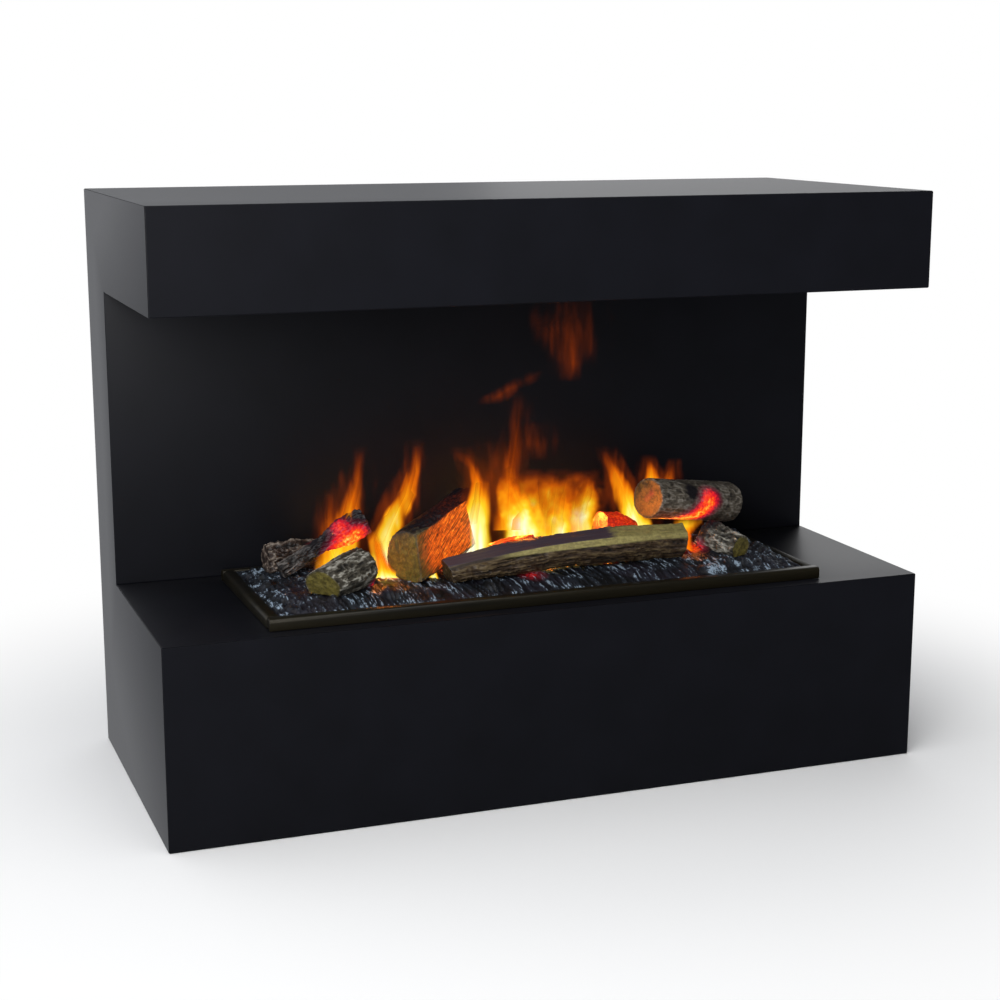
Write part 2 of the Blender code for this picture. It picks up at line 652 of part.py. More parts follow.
def build_lamps(cassette, tray_material, lamp_material, filter_material):
    """Build the lamp tray in front of the nozzle, its three lamps and the amber filter."""
    left = SLOT_LEFT + 0.012
    right = SLOT_RIGHT - 0.012
    middle = (left + right) / 2
    half = (right - left) / 2
    tray_y, tray_half, tray_z, lip, skin = -0.033, 0.015, -0.040, 0.010, 0.0015
    loops = [rectangle(half, tray_half, tray_z, middle, tray_y),
             rectangle(half, tray_half, tray_z + lip, middle, tray_y),
             rectangle(half - skin, tray_half - skin, tray_z + lip, middle, tray_y),
             rectangle(half - skin, tray_half - skin, tray_z + skin, middle, tray_y)]
    add_piece("lamp_tray", loft(loops), tray_material, cassette)
    bulb = LAMP_RADIUS
    profile = [(0.0, -0.020), (bulb * 0.75, -0.020), (bulb * 0.75, -0.008), (bulb, -0.006), (bulb, 0.012),
               (bulb * 0.7, 0.017), (0.0, 0.019)]
    turn = (0.0, math.radians(90.0), 0.0)
    for number in range(3):
        x = middle + (number - 1) * LAMP_PITCH
        place = (x, tray_y, tray_z + skin + GAP + bulb)
        name = f"flame_lamp_{number + 1}"
        shade_round(add_piece(name, turned(profile, 16), lamp_material, cassette, place, turn))
    filter_y = tray_y + tray_half + 0.004
    add_piece("amber_filter", block((left, filter_y, -0.032), (right, filter_y + 0.0012, -0.002)),
              filter_material, cassette)


def build_power_supply(cassette, material):
    """Build the low-voltage supply on the floor of the front strip."""
    base = HOUSING_FLOOR + GAP
    low = (SUPPLY_LEFT, FRONT_STRIP_Y - BOX_WIDTH / 2, base)
    high = (SUPPLY_RIGHT, FRONT_STRIP_Y + BOX_WIDTH / 2, base + SUPPLY_HEIGHT)
    supply = add_piece("power_supply", block(low, high), material, cassette)
    bevel = supply.modifiers.new("edges", "BEVEL")
    bevel.width = 0.002
    bevel.segments = 1


def button_places():
    """Return the x positions of the three push buttons on the control box."""
    first = CONTROL_LEFT + 0.070
    return [first + step * BUTTON_PITCH for step in range(3)]


def build_controls(cassette, box_material, rocker_material, button_material):
    """Build the control box, its rocker switch on an X axis and its three push buttons."""
    rocker_x = CONTROL_LEFT + 0.030
    low = (CONTROL_LEFT, FRONT_STRIP_Y - BOX_WIDTH / 2, HOUSING_FLOOR + GAP)
    high = (CONTROL_RIGHT, FRONT_STRIP_Y + BOX_WIDTH / 2, CONTROL_TOP)
    box = add_piece("control_box", block(low, high), box_material, cassette)
    pocket_x = ROCKER_WIDTH / 2 + FIT
    pocket_y = ROCKER_RADIUS + 2 * FIT
    combine(box, block((rocker_x - pocket_x, FRONT_STRIP_Y - pocket_y, CONTROL_TOP - ROCKER_RADIUS - 0.002),
                       (rocker_x + pocket_x, FRONT_STRIP_Y + pocket_y, CONTROL_TOP + 0.01)), "DIFFERENCE")
    sink = 0.0035
    for x in button_places():
        cut = rod(BUTTON_RADIUS + BUTTON_PLAY, -sink - BUTTON_TRAVEL - FIT, 0.01, 20)
        combine(box, cut, "DIFFERENCE", (x, FRONT_STRIP_Y, CONTROL_TOP))
    build_rocker(cassette, rocker_material, rocker_x)
    profile = [(0.0, -sink), (BUTTON_RADIUS, -sink), (BUTTON_RADIUS, 0.002), (BUTTON_RADIUS * 0.8, 0.0026),
               (0.0, 0.0028)]
    for number, x in enumerate(button_places(), start=1):
        place = (x, FRONT_STRIP_Y, CONTROL_TOP)
        piece = add_piece(f"control_button_{number}", turned(profile, 20), button_material, cassette, place)
        shade_round(piece)


def build_rocker(cassette, material, x):
    """Build the rocker: a round-bottomed key that tips about its pivot on the box's top."""
    steps = 10
    arc = [(ROCKER_RADIUS * math.cos(math.pi + math.pi * step / steps),
            ROCKER_RADIUS * math.sin(math.pi + math.pi * step / steps)) for step in range(steps + 1)]
    outline = arc + [(ROCKER_RADIUS, 0.0030), (0.0, 0.0012), (-ROCKER_RADIUS, 0.0030)]
    shape = extruded(outline, -ROCKER_WIDTH / 2, ROCKER_WIDTH / 2, "X")
    place = (x, FRONT_STRIP_Y, CONTROL_TOP)
    add_piece("rocker_switch", shape, material, cassette, place, (-ROCKER_TILT, 0.0, 0.0))


# --- the fuel bed and its logs ------------------------------------------------------------------------

def bed_top(x, y):
    """Return the height of the bed's surface at a place in the cassette's frame."""
    across = min(abs(x) / BED_X, 1.0)
    along = min(abs(y) / BED_Y, 1.0)
    rise = BED_CROWN + BED_END_RISE * across ** 2
    return BED_EDGE + rise * (1.0 - across ** 14) * (1.0 - along ** 4)


def grid_lines(low, high, fixed, step):
    """Return coordinates from low to high that include the fixed ones, no wider apart than step."""
    marks = sorted({low, high, *fixed})
    lines = []
    for first, last in zip(marks, marks[1:]):
        count = max(1, math.ceil((last - first) / step - 1e-6))
        lines += [first + (last - first) * part / count for part in range(count)]
    return lines + [high]


def build_fuel_bed(parent, material):
    """Build the moulded bed: a crowned skin on a flat rim, open at the mist slot."""
    rim = 0.0075
    slot_y = (SLOT_Y - SLOT_WIDTH / 2 + 0.002, SLOT_Y + SLOT_WIDTH / 2 - 0.002)
    slot_x = (SLOT_LEFT + 0.002, SLOT_RIGHT - 0.002)
    xs = grid_lines(-BED_X, BED_X, (rim - BED_X, BED_X - rim, *slot_x), 0.034)
    ys = grid_lines(-BED_Y, BED_Y, (rim - BED_Y, BED_Y - rim, *slot_y), 0.024)
    shape = bmesh.new()
    top = {}
    bottom = {}
    for column, x in enumerate(xs):
        for row, y in enumerate(ys):
            height = bed_top(x, y)
            on_rim = column in (0, 1, len(xs) - 2, len(xs) - 1) or row in (0, 1, len(ys) - 2, len(ys) - 1)
            under = BED_BASE if on_rim else height - BED_SKIN
            top[column, row] = shape.verts.new((x, y, height))
            bottom[column, row] = shape.verts.new((x, y, under))
    hair = 1e-6
    cells = set()
    for column, x in enumerate(xs[:-1]):
        for row, y in enumerate(ys[:-1]):
            in_slot_x = slot_x[0] - hair < x < slot_x[1] - hair
            in_slot_y = slot_y[0] - hair < y < slot_y[1] - hair
            if not (in_slot_x and in_slot_y):
                cells.add((column, row))
    for column, row in sorted(cells):
        corners = ((column, row), (column + 1, row), (column + 1, row + 1), (column, row + 1))
        shape.faces.new([top[corner] for corner in corners])
        shape.faces.new([bottom[corner] for corner in reversed(corners)])
        neighbours = ((column, row - 1), (column + 1, row), (column, row + 1), (column - 1, row))
        for side, neighbour in enumerate(neighbours):
            if neighbour not in cells:
                first, last = corners[side], corners[(side + 1) % 4]
                shape.faces.new((top[last], top[first], bottom[first], bottom[last]))
    loose = [vert for vert in shape.verts if not vert.link_faces]
    bmesh.ops.delete(shape, geom=loose, context="VERTS")
    add_piece("fuel_bed", shape, material, parent)


def bark_wave(angle, along, seed):
    """Return a smooth waviness between about -1 and 1 over a log's surface."""
    return (math.sin(3.0 * angle + seed) + math.sin(2.0 * angle + 9.0 * along - 2.1 * seed)
            + math.sin(5.0 * angle + 5.0 * along + 1.7 * seed)) / 3.0


def build_log(name, parent, material, start, end, radii, sides=14, rings=7, planes=(), sag=0.0, wave=0.05,
              seed=1.0):
    """Build one cast log from start to end.

    radii are evenly spaced along its length. planes are (direction in degrees, share of the radius):
    each one splits the round section flat on that side. sag lifts the middle of the log's axis.
    What would lie in the bed is laid on it.
    """
    start = Vector(start)
    axis = Vector(end) - start
    forward = axis.normalized()
    right = forward.cross(Vector((0.0, 0.0, 1.0))).normalized()
    up = right.cross(forward)
    loops = []
    for ring in range(rings):
        along = ring / (rings - 1)
        place = along * (len(radii) - 1)
        low = min(int(place), len(radii) - 2)
        radius = radii[low] + (radii[low + 1] - radii[low]) * (place - low)
        centre = start + axis * along + up * sag * math.sin(math.pi * along)
        loop = []
        for side in range(sides):
            angle = 2.0 * math.pi * side / sides
            reach = radius * (1.0 + wave * bark_wave(angle, along, seed))
            for direction, share in planes:
                facing = math.cos(angle - math.radians(direction))
                if facing > 0.0:
                    reach = min(reach, share * radius / facing)
            point = centre + right * reach * math.cos(angle) + up * reach * math.sin(angle)
            point.z = max(point.z, bed_top(point.x, point.y) + LOG_SEAT)
            loop.append(point)
        loops.append(loop)
    return add_piece(name, loft(loops), material, parent)


def build_logs(parent, bark, char, ember):
    """Build the seven logs and the three glowing pieces that stand on the bed."""
    build_log("log_long_front", parent, bark, (-0.123, -0.063, 0.035), (0.212, -0.041, 0.044),
              (0.0165, 0.021, 0.023, 0.022), rings=11, planes=((70.0, 0.80),), sag=0.008, seed=2.0)
    build_log("log_front_left", parent, bark, (-0.287, -0.080, 0.0345), (-0.228, -0.0415, 0.0435),
              (0.0235, 0.0265, 0.028), planes=((-30.0, 0.85),), seed=4.0)
    build_log("log_upright", parent, bark, (-0.170, -0.045, 0.052), (-0.068, 0.012, 0.087),
              (0.0346, 0.0362, 0.0365), planes=((10.0, 0.62), (-110.0, 0.85)), wave=0.04, seed=6.0)
    build_log("log_back_left", parent, bark, (-0.323, 0.066, 0.038), (-0.256, 0.071, 0.041),
              (0.019, 0.021, 0.017), wave=0.09, seed=3.0)
    build_log("log_burning_branch", parent, char, (-0.315, 0.022, 0.034), (-0.204, 0.028, 0.090),
              (0.010, 0.009, 0.010, 0.019, 0.013), sides=10, rings=9, wave=0.12, seed=5.0)
    build_log("log_round", parent, bark, (0.178, -0.006, 0.0965), (0.327, 0.054, 0.068),
              (0.0265, 0.027, 0.0275), sides=18, rings=6, wave=0.02, seed=1.0)
    build_log("log_short_right", parent, bark, (0.282, -0.074, 0.0345), (0.262, -0.020, 0.042),
              (0.0165, 0.019, 0.0225), sides=12, rings=5, seed=7.0)
    build_log("ember_stick", parent, ember, (-0.046, -0.013, 0.041), (0.014, -0.011, 0.053),
              (0.012, 0.013, 0.008), sides=8, rings=5, wave=0.10, seed=8.0)
    build_log("ember_block", parent, ember, (0.112, 0.004, 0.060), (0.166, 0.012, 0.048),
              (0.021, 0.022, 0.014), sides=8, rings=5, wave=0.08, seed=9.0)
    build_log("ember_lump", parent, ember, (0.222, -0.002, 0.036), (0.240, 0.010, 0.040),
              (0.010, 0.013, 0.011), sides=9, rings=5, wave=0.10, seed=10.0)


def main():
    """Build the whole fireplace."""
    clear_scene()
    lacquer = make_material("black_lacquer", (0.011, 0.011, 0.013), 0.45)
    raw_board = make_material("black_board", (0.020, 0.019, 0.018), 0.75)
    steel = make_material("zinc_plated_steel", (0.48, 0.49, 0.50), 0.38, 1.0)
    trim_metal = make_material("bronzed_trim", (0.030, 0.028, 0.022), 0.32, 0.6)
    housing_metal = make_material("black_sheet_steel", (0.020, 0.020, 0.021), 0.55, 0.3)
    plastic = make_material("dark_moulded_plastic", (0.030, 0.031, 0.033), 0.50)
    clear_plastic = make_material("smoked_tank_plastic", (0.32, 0.40, 0.45), 0.12)
    cap_plastic = make_material("blue_cap_plastic", (0.02, 0.12, 0.34), 0.40)
    amber = make_material("amber_filter", (0.80, 0.25, 0.02), 0.20)
    lamp_glass = make_material("lamp_glass", (0.85, 0.80, 0.68), 0.10)
    red_plastic = make_material("red_rocker_plastic", (0.42, 0.02, 0.02), 0.35)
    coal = make_material("coal_bed", (0.025, 0.028, 0.036), 0.60)
    bark = make_material("log_bark", (0.105, 0.078, 0.050), 0.80)
    char = make_material("charred_bark", (0.035, 0.018, 0.020), 0.75)
    ember = make_material("glowing_ember", (0.80, 0.12, 0.02), 0.60)

    build_surround(lacquer, raw_board)
    build_service_cover(housing_metal)
    build_cover_screws(steel)
    build_power_inlet(plastic)
    build_rails(steel)

    cassette = make_empty("cassette_frame", (0.0, CASSETTE_Y, HEARTH_HEIGHT))
    build_trim(cassette, trim_metal)
    build_housing(cassette, housing_metal)
    build_basin(cassette, plastic)
    build_transducers(cassette, steel)
    build_float(cassette, steel, amber)
    build_nozzle(cassette, plastic)
    build_fan(cassette, plastic, housing_metal)
    build_air_filter(cassette, plastic)
    build_tank(cassette, clear_plastic)
    build_tank_cap(cassette, cap_plastic)
    build_valve_plunger(cassette, red_plastic)
    build_lamps(cassette, steel, lamp_glass, amber)
    build_power_supply(cassette, housing_metal)
    build_controls(cassette, plastic, red_plastic, clear_plastic)

    bed = make_empty("fuel_bed_frame", (0.0, 0.0, 0.0), cassette)
    build_fuel_bed(bed, coal)
    build_logs(bed, bark, char, ember)


main()
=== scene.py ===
"""Looks of the electric mist fireplace: finishes, fine shapes, coals, logs and flames round the CAD frame.

Units are metres. The fire's own frame has its origin on the hearth's top, at the middle of the cassette.
"""

import logging
import math
from dataclasses import dataclass
from enum import Enum
from typing import Callable, Iterable

import bpy
import numpy as np
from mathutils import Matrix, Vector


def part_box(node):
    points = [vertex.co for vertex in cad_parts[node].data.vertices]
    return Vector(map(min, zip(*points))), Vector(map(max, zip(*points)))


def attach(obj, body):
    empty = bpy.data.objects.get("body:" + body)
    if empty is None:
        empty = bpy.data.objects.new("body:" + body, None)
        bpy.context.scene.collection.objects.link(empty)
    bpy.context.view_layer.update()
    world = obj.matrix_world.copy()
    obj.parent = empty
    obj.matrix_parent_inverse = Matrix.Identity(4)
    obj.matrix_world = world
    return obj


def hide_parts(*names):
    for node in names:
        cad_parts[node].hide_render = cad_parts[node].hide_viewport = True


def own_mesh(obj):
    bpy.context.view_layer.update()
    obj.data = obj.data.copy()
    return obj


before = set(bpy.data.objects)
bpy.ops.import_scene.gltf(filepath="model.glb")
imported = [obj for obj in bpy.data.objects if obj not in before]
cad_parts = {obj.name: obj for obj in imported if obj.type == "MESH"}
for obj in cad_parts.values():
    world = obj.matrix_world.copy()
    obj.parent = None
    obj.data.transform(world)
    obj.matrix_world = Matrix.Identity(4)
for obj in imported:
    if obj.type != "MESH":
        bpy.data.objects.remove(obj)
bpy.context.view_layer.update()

LOG = logging.getLogger("fireplace")

MM = 0.001
FIRE_ORIGIN = np.array((0.0, -0.065, 0.250))
SURROUND = "surround"
BED_BODY = "fuel_bed_and_logs"

# The fuel bed's plain crown as the CAD has it: half its sides, its rim's height over the hearth, the rise
# to its middle, the further rise towards its ends, and how squarely it falls off at its ends and sides.
BED_HALF_LENGTH = 0.3525
BED_HALF_WIDTH = 0.118
BED_RIM = 0.013
BED_CROWN = 0.010
BED_END_RISE = 0.004
BED_END_POWER = 14
BED_SIDE_POWER = 4

# Large multipliers that scatter the bits of a whole-numbered point.
HASH_X, HASH_Y, HASH_Z, HASH_SEED, HASH_MIX = 374761393, 668265263, 1442695041, 974634777, 1274126177
# How steeply folded noise falls off from its crests.
RIDGE_STEEPNESS = 2.2
# Vertices closer than this are one corner, and faces that turn by less than this are one flat face.
SAME_CORNER = 0.01 * MM
SAME_FACE = math.radians(0.4)
# Two coordinates closer than this are on the same face of a box.
TOUCHING = 1e-5
# Sheets of mist that a ray may pass through one behind the other.
MIST_LAYERS = 40

Colour = tuple[float, float, float, float]
Socket = bpy.types.NodeSocket
Points = np.ndarray


# ---------------------------------------------------------------- numbers and noise


def linear(code: str) -> Colour:
    """Turn an sRGB colour into the linear one that shaders use.

    Args:
        code: six hex digits, with or without a leading #.

    Returns:
        Linear red, green and blue, with an alpha of 1.
    """
    code = code.lstrip("#")
    parts = [int(code[at:at + 2], 16) / 255.0 for at in (0, 2, 4)]
    red, green, blue = (p / 12.92 if p <= 0.04045 else ((p + 0.055) / 1.055) ** 2.4 for p in parts)
    return (red, green, blue, 1.0)


def ease(value: Points, low: float, high: float) -> Points:
    """Rise smoothly from 0 at low to 1 at high."""
    share = np.clip((value - low) / (high - low), 0.0, 1.0)
    return share * share * (3.0 - 2.0 * share)


def lattice(ix: Points, iy: Points, iz: Points, seed: int) -> Points:
    """Give each whole-numbered point its own fixed value between -1 and 1."""
    mixed = (ix * HASH_X + iy * HASH_Y + iz * HASH_Z + seed * HASH_SEED) & 0xFFFFFFFF
    mixed = ((mixed ^ (mixed >> 13)) * HASH_MIX) & 0xFFFFFFFF
    return ((mixed ^ (mixed >> 16)) & 0xFFFF) / 32767.5 - 1.0


def noise(points: Points, seed: int = 0) -> Points:
    """Smooth value noise between -1 and 1.

    Args:
        points: n by 3 places, one unit being one bump.
        seed: picks the pattern.

    Returns:
        n values.
    """
    whole = np.floor(points).astype(np.int64)
    part = points - whole
    part = part * part * (3.0 - 2.0 * part)
    total = np.zeros(len(points))
    for corner in range(8):
        step = (corner & 1, corner >> 1 & 1, corner >> 2 & 1)
        weight = np.ones(len(points))
        for axis in range(3):
            weight = weight * (part[:, axis] if step[axis] else 1.0 - part[:, axis])
        total += weight * lattice(whole[:, 0] + step[0], whole[:, 1] + step[1], whole[:, 2] + step[2], seed)
    return total


def fractal(points: Points, octaves: int = 3, seed: int = 0) -> Points:
    """Noise with finer noise on it, each octave twice as fine and half as strong."""
    total = np.zeros(len(points))
    for octave in range(octaves):
        total += noise(points * 2.0 ** octave, seed + 17 * octave) * 0.5 ** octave
    return total / (2.0 - 0.5 ** (octaves - 1))


def ridged(points: Points, octaves: int = 3, seed: int = 0) -> Points:
    """Noise folded into sharp crests, from 0 in the hollows to 1 on the crests."""
    return 1.0 - np.clip(np.abs(fractal(points, octaves, seed)) * RIDGE_STEEPNESS, 0.0, 1.0)


@dataclass(frozen=True)
class Spot:
    """A soft round patch: its middle in the fire's frame, how far it reaches and how strong it is."""

    x: float
    y: float
    z: float
    reach: float
    strength: float = 1.0

    def at(self, points: Points) -> Points:
        """How much of the patch lies at each point."""
        away = np.linalg.norm(points - np.array((self.x, self.y, self.z)), axis=1)
        return self.strength * np.exp(-((away / self.reach) ** 2))


def patches(spots: Iterable[Spot], points: Points) -> Points:
    """Add soft patches up and cap them at 1."""
    total = np.zeros(len(points))
    for spot in spots:
        total += spot.at(points)
    return np.clip(total, 0.0, 1.0)


def bed_top(x: Points, y: Points) -> Points:
    """Height of the fuel bed's plain crown above the hearth, in the fire's frame."""
    to_end = np.clip(np.abs(x) / BED_HALF_LENGTH, 0.0, 1.0)
    to_side = np.clip(np.abs(y) / BED_HALF_WIDTH, 0.0, 1.0)
    crown = BED_CROWN + BED_END_RISE * to_end ** 2
    return BED_RIM + crown * (1.0 - to_end ** BED_END_POWER) * (1.0 - to_side ** BED_SIDE_POWER)


# ---------------------------------------------------------------- mesh helpers


def only(piece: bpy.types.Object) -> None:
    """Select one piece and nothing else, and make it active."""
    bpy.ops.object.select_all(action="DESELECT")
    piece.select_set(True)
    bpy.context.view_layer.objects.active = piece


def clear_selection() -> None:
    """Deselect everything, so that the next primitive is alone."""
    if bpy.context.object and bpy.context.object.mode != "OBJECT":
        bpy.ops.object.mode_set(mode="OBJECT")
    bpy.ops.object.select_all(action="DESELECT")


def pick(piece: bpy.types.Object, kind: str, chosen: Callable[[object], bool]) -> None:
    """Enter edit mode with only the chosen edges or faces selected.

    Args:
        piece: the mesh object.
        kind: EDGE or FACE.
        chosen: says whether an edge or a face is wanted.
    """
    clear_selection()
    only(piece)
    mesh = piece.data
    for part in (mesh.vertices, mesh.edges, mesh.polygons):
        part.foreach_set("select", [False] * len(part))
    parts = mesh.edges if kind == "EDGE" else mesh.polygons
    parts.foreach_set("select", [chosen(part) for part in parts])
    bpy.context.tool_settings.mesh_select_mode = (False, kind == "EDGE", kind == "FACE")
    bpy.ops.object.mode_set(mode="EDIT")


def read_points(piece: bpy.types.Object) -> Points:
    """A mesh's vertices as an n by 3 array."""
    flat = np.empty(len(piece.data.vertices) * 3)
    piece.data.vertices.foreach_get("co", flat)
    return flat.reshape(-1, 3)


def write_points(piece: bpy.types.Object, points: Points) -> None:
    """Put an n by 3 array back as a mesh's vertices."""
    piece.data.vertices.foreach_set("co", points.astype(np.float32).ravel())
    piece.data.update()


def paint(piece: bpy.types.Object, name: str, values: Points) -> None:
    """Keep one number or one vector for each vertex, for a material to read.

    Args:
        piece: the mesh object.
        name: the attribute's name.
        values: n numbers, or n by 3 of them.
    """
    kind, key = ("FLOAT", "value") if values.ndim == 1 else ("FLOAT_VECTOR", "vector")
    layer = piece.data.attributes.new(name, kind, "POINT")
    layer.data.foreach_set(key, values.astype(np.float32).ravel())


def outwards(piece: bpy.types.Object) -> None:
    """Turn every face of a closed shell outwards."""
    only(piece)
    bpy.ops.object.mode_set(mode="EDIT")
    bpy.ops.mesh.select_all(action="SELECT")
    bpy.ops.mesh.normals_make_consistent(inside=False)
    bpy.ops.object.mode_set(mode="OBJECT")


def smooth(piece: bpy.types.Object, degrees: float = 40.0) -> None:
    """Shade a piece smooth, apart from edges sharper than this."""
    only(piece)
    bpy.ops.object.shade_smooth_by_angle(angle=math.radians(degrees))


def apply_bevel(piece: bpy.types.Object, width: float, segments: int, degrees: float) -> None:
    """Round every edge sharper than an angle.

    Args:
        piece: the mesh object.
        width: width of the rounding.
        segments: faces across it.
        degrees: the angle from which an edge counts as sharp.
    """
    only(piece)
    bevel = piece.modifiers.new("rounding", "BEVEL")
    bevel.width = width
    bevel.segments = segments
    bevel.limit_method = "ANGLE"
    bevel.angle_limit = math.radians(degrees)
    bevel.use_clamp_overlap = True
    bpy.ops.object.modifier_apply(modifier=bevel.name)


def copy_node(node: str, name: str) -> bpy.types.Object:
    """Copy a CAD node into a new piece, with its triangles joined and its flat faces made whole.

    Args:
        node: the CAD node's name.
        name: the new piece's name.

    Returns:
        The new piece.
    """
    clear_selection()
    piece = bpy.data.objects.new(name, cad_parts[node].data.copy())
    bpy.context.scene.collection.objects.link(piece)
    only(piece)
    bpy.ops.object.mode_set(mode="EDIT")
    bpy.ops.mesh.select_all(action="SELECT")
    bpy.ops.mesh.remove_doubles(threshold=SAME_CORNER)
    bpy.ops.mesh.dissolve_limited(angle_limit=SAME_FACE)
    bpy.ops.object.mode_set(mode="OBJECT")
    return piece


def settle(piece: bpy.types.Object, material: bpy.types.Material, body: str,
           stands_for: str | None = None) -> None:
    """Give a finished piece its material and say which body it rides on.

    Args:
        piece: the mesh object.
        material: its only material.
        body: the CAD body's name.
        stands_for: the CAD node that it replaces, if any.
    """
    piece.data.materials.clear()
    piece.data.materials.append(material)
    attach(piece, body)
    if stands_for:
        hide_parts(stands_for)
    LOG.info("%s: %d faces on %s", piece.name, len(piece.data.polygons), body)


# ---------------------------------------------------------------- finishes


def add_node(tree: bpy.types.NodeTree, kind: str, values: dict | None = None, stops: Iterable | None = None,
             **settings: object) -> bpy.types.Node:
    """Add a shader node.

    Args:
        tree: the material's node tree.
        kind: the node's type, without its ShaderNode prefix.
        values: its inputs by name or number; a socket is linked, anything else is set.
        stops: a colour ramp's (place, hex colour) pairs.
        settings: its own properties.

    Returns:
        The node.
    """
    node = tree.nodes.new("ShaderNode" + kind)
    for name, setting in settings.items():
        setattr(node, name, setting)
    for key, value in (values or {}).items():
        if isinstance(value, bpy.types.NodeSocket):
            tree.links.new(value, node.inputs[key])
        else:
            node.inputs[key].default_value = value
    if stops:
        elements = node.color_ramp.elements
        while len(elements) > 1:
            elements.remove(elements[0])
        for number, (place, code) in enumerate(stops):
            stop = elements[0] if number == 0 else elements.new(place)
            stop.position = place
            stop.color = linear(code)
    return node


def blank_material(name: str) -> tuple[bpy.types.Material, bpy.types.NodeTree]:
    """Start a material whose node tree is empty."""
    material = bpy.data.materials.new(name)
    material.use_nodes = True
    material.node_tree.nodes.clear()
    return material, material.node_tree


@dataclass(frozen=True)
class MadeFinish:
    """A hard, even surface with a faint mottle and a fine relief.

    The mottle and the relief have their own real sizes; stretch makes them run along an axis, as on
    brushed or rolled metal.
    """

    name: str
    colour: str
    mottle: str
    roughness: float
    roughness_spread: float = 0.05
    metallic: float = 0.0
    ior: float = 1.5
    specular: float = 0.5
    mottle_mm: float = 30.0
    grain_mm: float = 0.8
    grain_height_mm: float = 0.01
    stretch: tuple[float, float, float] = (1.0, 1.0, 1.0)
    transmission: float = 0.0
    coat: float = 0.0

    def make(self) -> bpy.types.Material:
        """Build the material."""
        material, tree = blank_material(self.name)
        place = add_node(tree, "TexCoord").outputs["Object"]
        run = add_node(tree, "Mapping", {"Vector": place, "Scale": self.stretch}).outputs[0]
        mottle = add_node(tree, "TexNoise", {"Vector": run, "Scale": 1.0 / (self.mottle_mm * MM),
                                             "Detail": 4.0})
        tone = add_node(tree, "ValToRGB", {"Fac": mottle.outputs["Fac"]},
                        stops=((0.30, self.colour), (0.70, self.mottle)))
        grain = add_node(tree, "TexNoise", {"Vector": run, "Scale": 1.0 / (self.grain_mm * MM),
                                            "Detail": 2.0})
        gloss = add_node(tree, "MapRange", {"Value": grain.outputs["Fac"], "To Min": self.roughness,
                                            "To Max": self.roughness + self.roughness_spread})
        relief = add_node(tree, "Bump", {"Height": grain.outputs["Fac"], "Strength": 1.0,
                                         "Distance": self.grain_height_mm * MM})
        shader = add_node(tree, "BsdfPrincipled", {
            "Base Color": tone.outputs["Color"], "Roughness": gloss.outputs["Result"],
            "Metallic": self.metallic, "Normal": relief.outputs["Normal"], "IOR": self.ior,
            "Specular IOR Level": self.specular, "Transmission Weight": self.transmission,
            "Coat Weight": self.coat})
        add_node(tree, "OutputMaterial", {"Surface": shader.outputs[0]})
        return material


# MDF sprayed with satin black lacquer: even and near black, with a faint blue cast and a very low
# orange peel that softens what it mirrors.
LACQUER = MadeFinish("satin_lacquered_mdf", "#0c0d13", "#0f1017", 0.42, 0.04, ior=1.36, mottle_mm=60.0,
                     grain_mm=1.6, grain_height_mm=0.012)
# Hardboard dyed black and pressed: dull, with a short fibre fleck.
HARDBOARD = MadeFinish("dyed_hardboard", "#171615", "#24211f", 0.72, 0.12, mottle_mm=9.0, grain_mm=1.2,
                       grain_height_mm=0.05)
# Cold-rolled steel, zinc plated and passivated: bright, with cloudy crystals and rolling lines.
ZINC = MadeFinish("zinc_plated_steel", "#8f9498", "#b4b8ba", 0.30, 0.16, metallic=1.0, mottle_mm=7.0,
                  grain_mm=0.9, grain_height_mm=0.01, stretch=(0.15, 1.0, 1.0))
# Folded sheet steel, powder coated black: a fine leathery texture.
POWDER_COAT = MadeFinish("powder_coated_steel", "#121213", "#1b1b1d", 0.52, 0.14, mottle_mm=25.0,
                         grain_mm=1.1, grain_height_mm=0.035)
# Injection-moulded ABS from a spark-eroded tool: an even matt grain.
ABS = MadeFinish("moulded_abs", "#1d1f21", "#26282b", 0.46, 0.10, mottle_mm=18.0, grain_mm=0.7,
                 grain_height_mm=0.02)
# Extruded aluminium, brushed along its length and anodised dark bronze; its warm tone is partly that bronze
# and partly a painted reflection of the flames' warm light.
BRONZE_WITH_FIRE_REFLECTION = MadeFinish("bronze_aluminium_fire_reflection", "#191710", "#2b2618", 0.34, 0.12, metallic=0.55,
                     mottle_mm=12.0, grain_mm=1.0, grain_height_mm=0.008, stretch=(0.05, 1.0, 1.0))
# Blow-moulded SAN for the tank: clear with a smoky blue tint, slightly wavy.
TANK_PLASTIC = MadeFinish("smoked_san_plastic", "#7d8d96", "#8d9da6", 0.10, 0.05, ior=1.56,
                          mottle_mm=40.0, grain_mm=6.0, grain_height_mm=0.05, transmission=0.85)
# Moulded polypropylene cap, pigmented blue.
CAP_PLASTIC = MadeFinish("blue_polypropylene", "#123f86", "#184c9a", 0.36, 0.08, mottle_mm=12.0,
                         grain_mm=0.8, grain_height_mm=0.012)
# Polished red polycarbonate rocker.
ROCKER_PLASTIC = MadeFinish("red_polycarbonate", "#8d0d0b", "#a6120f", 0.18, 0.06, mottle_mm=6.0,
                            grain_mm=0.6, grain_height_mm=0.005, coat=0.3)
# Moulded silicone rubber buttons: soft and dull.
SILICONE = MadeFinish("silicone_rubber", "#3a3b3d", "#454648", 0.62, 0.10, mottle_mm=5.0,
                      grain_mm=0.5, grain_height_mm=0.01)
# Pressed borosilicate lamp glass, faintly frosted.
LAMP_GLASS = MadeFinish("frosted_lamp_glass", "#e8e2d2", "#f4efe2", 0.16, 0.08, ior=1.47, mottle_mm=5.0,
                        grain_mm=0.6, grain_height_mm=0.01, transmission=0.8)
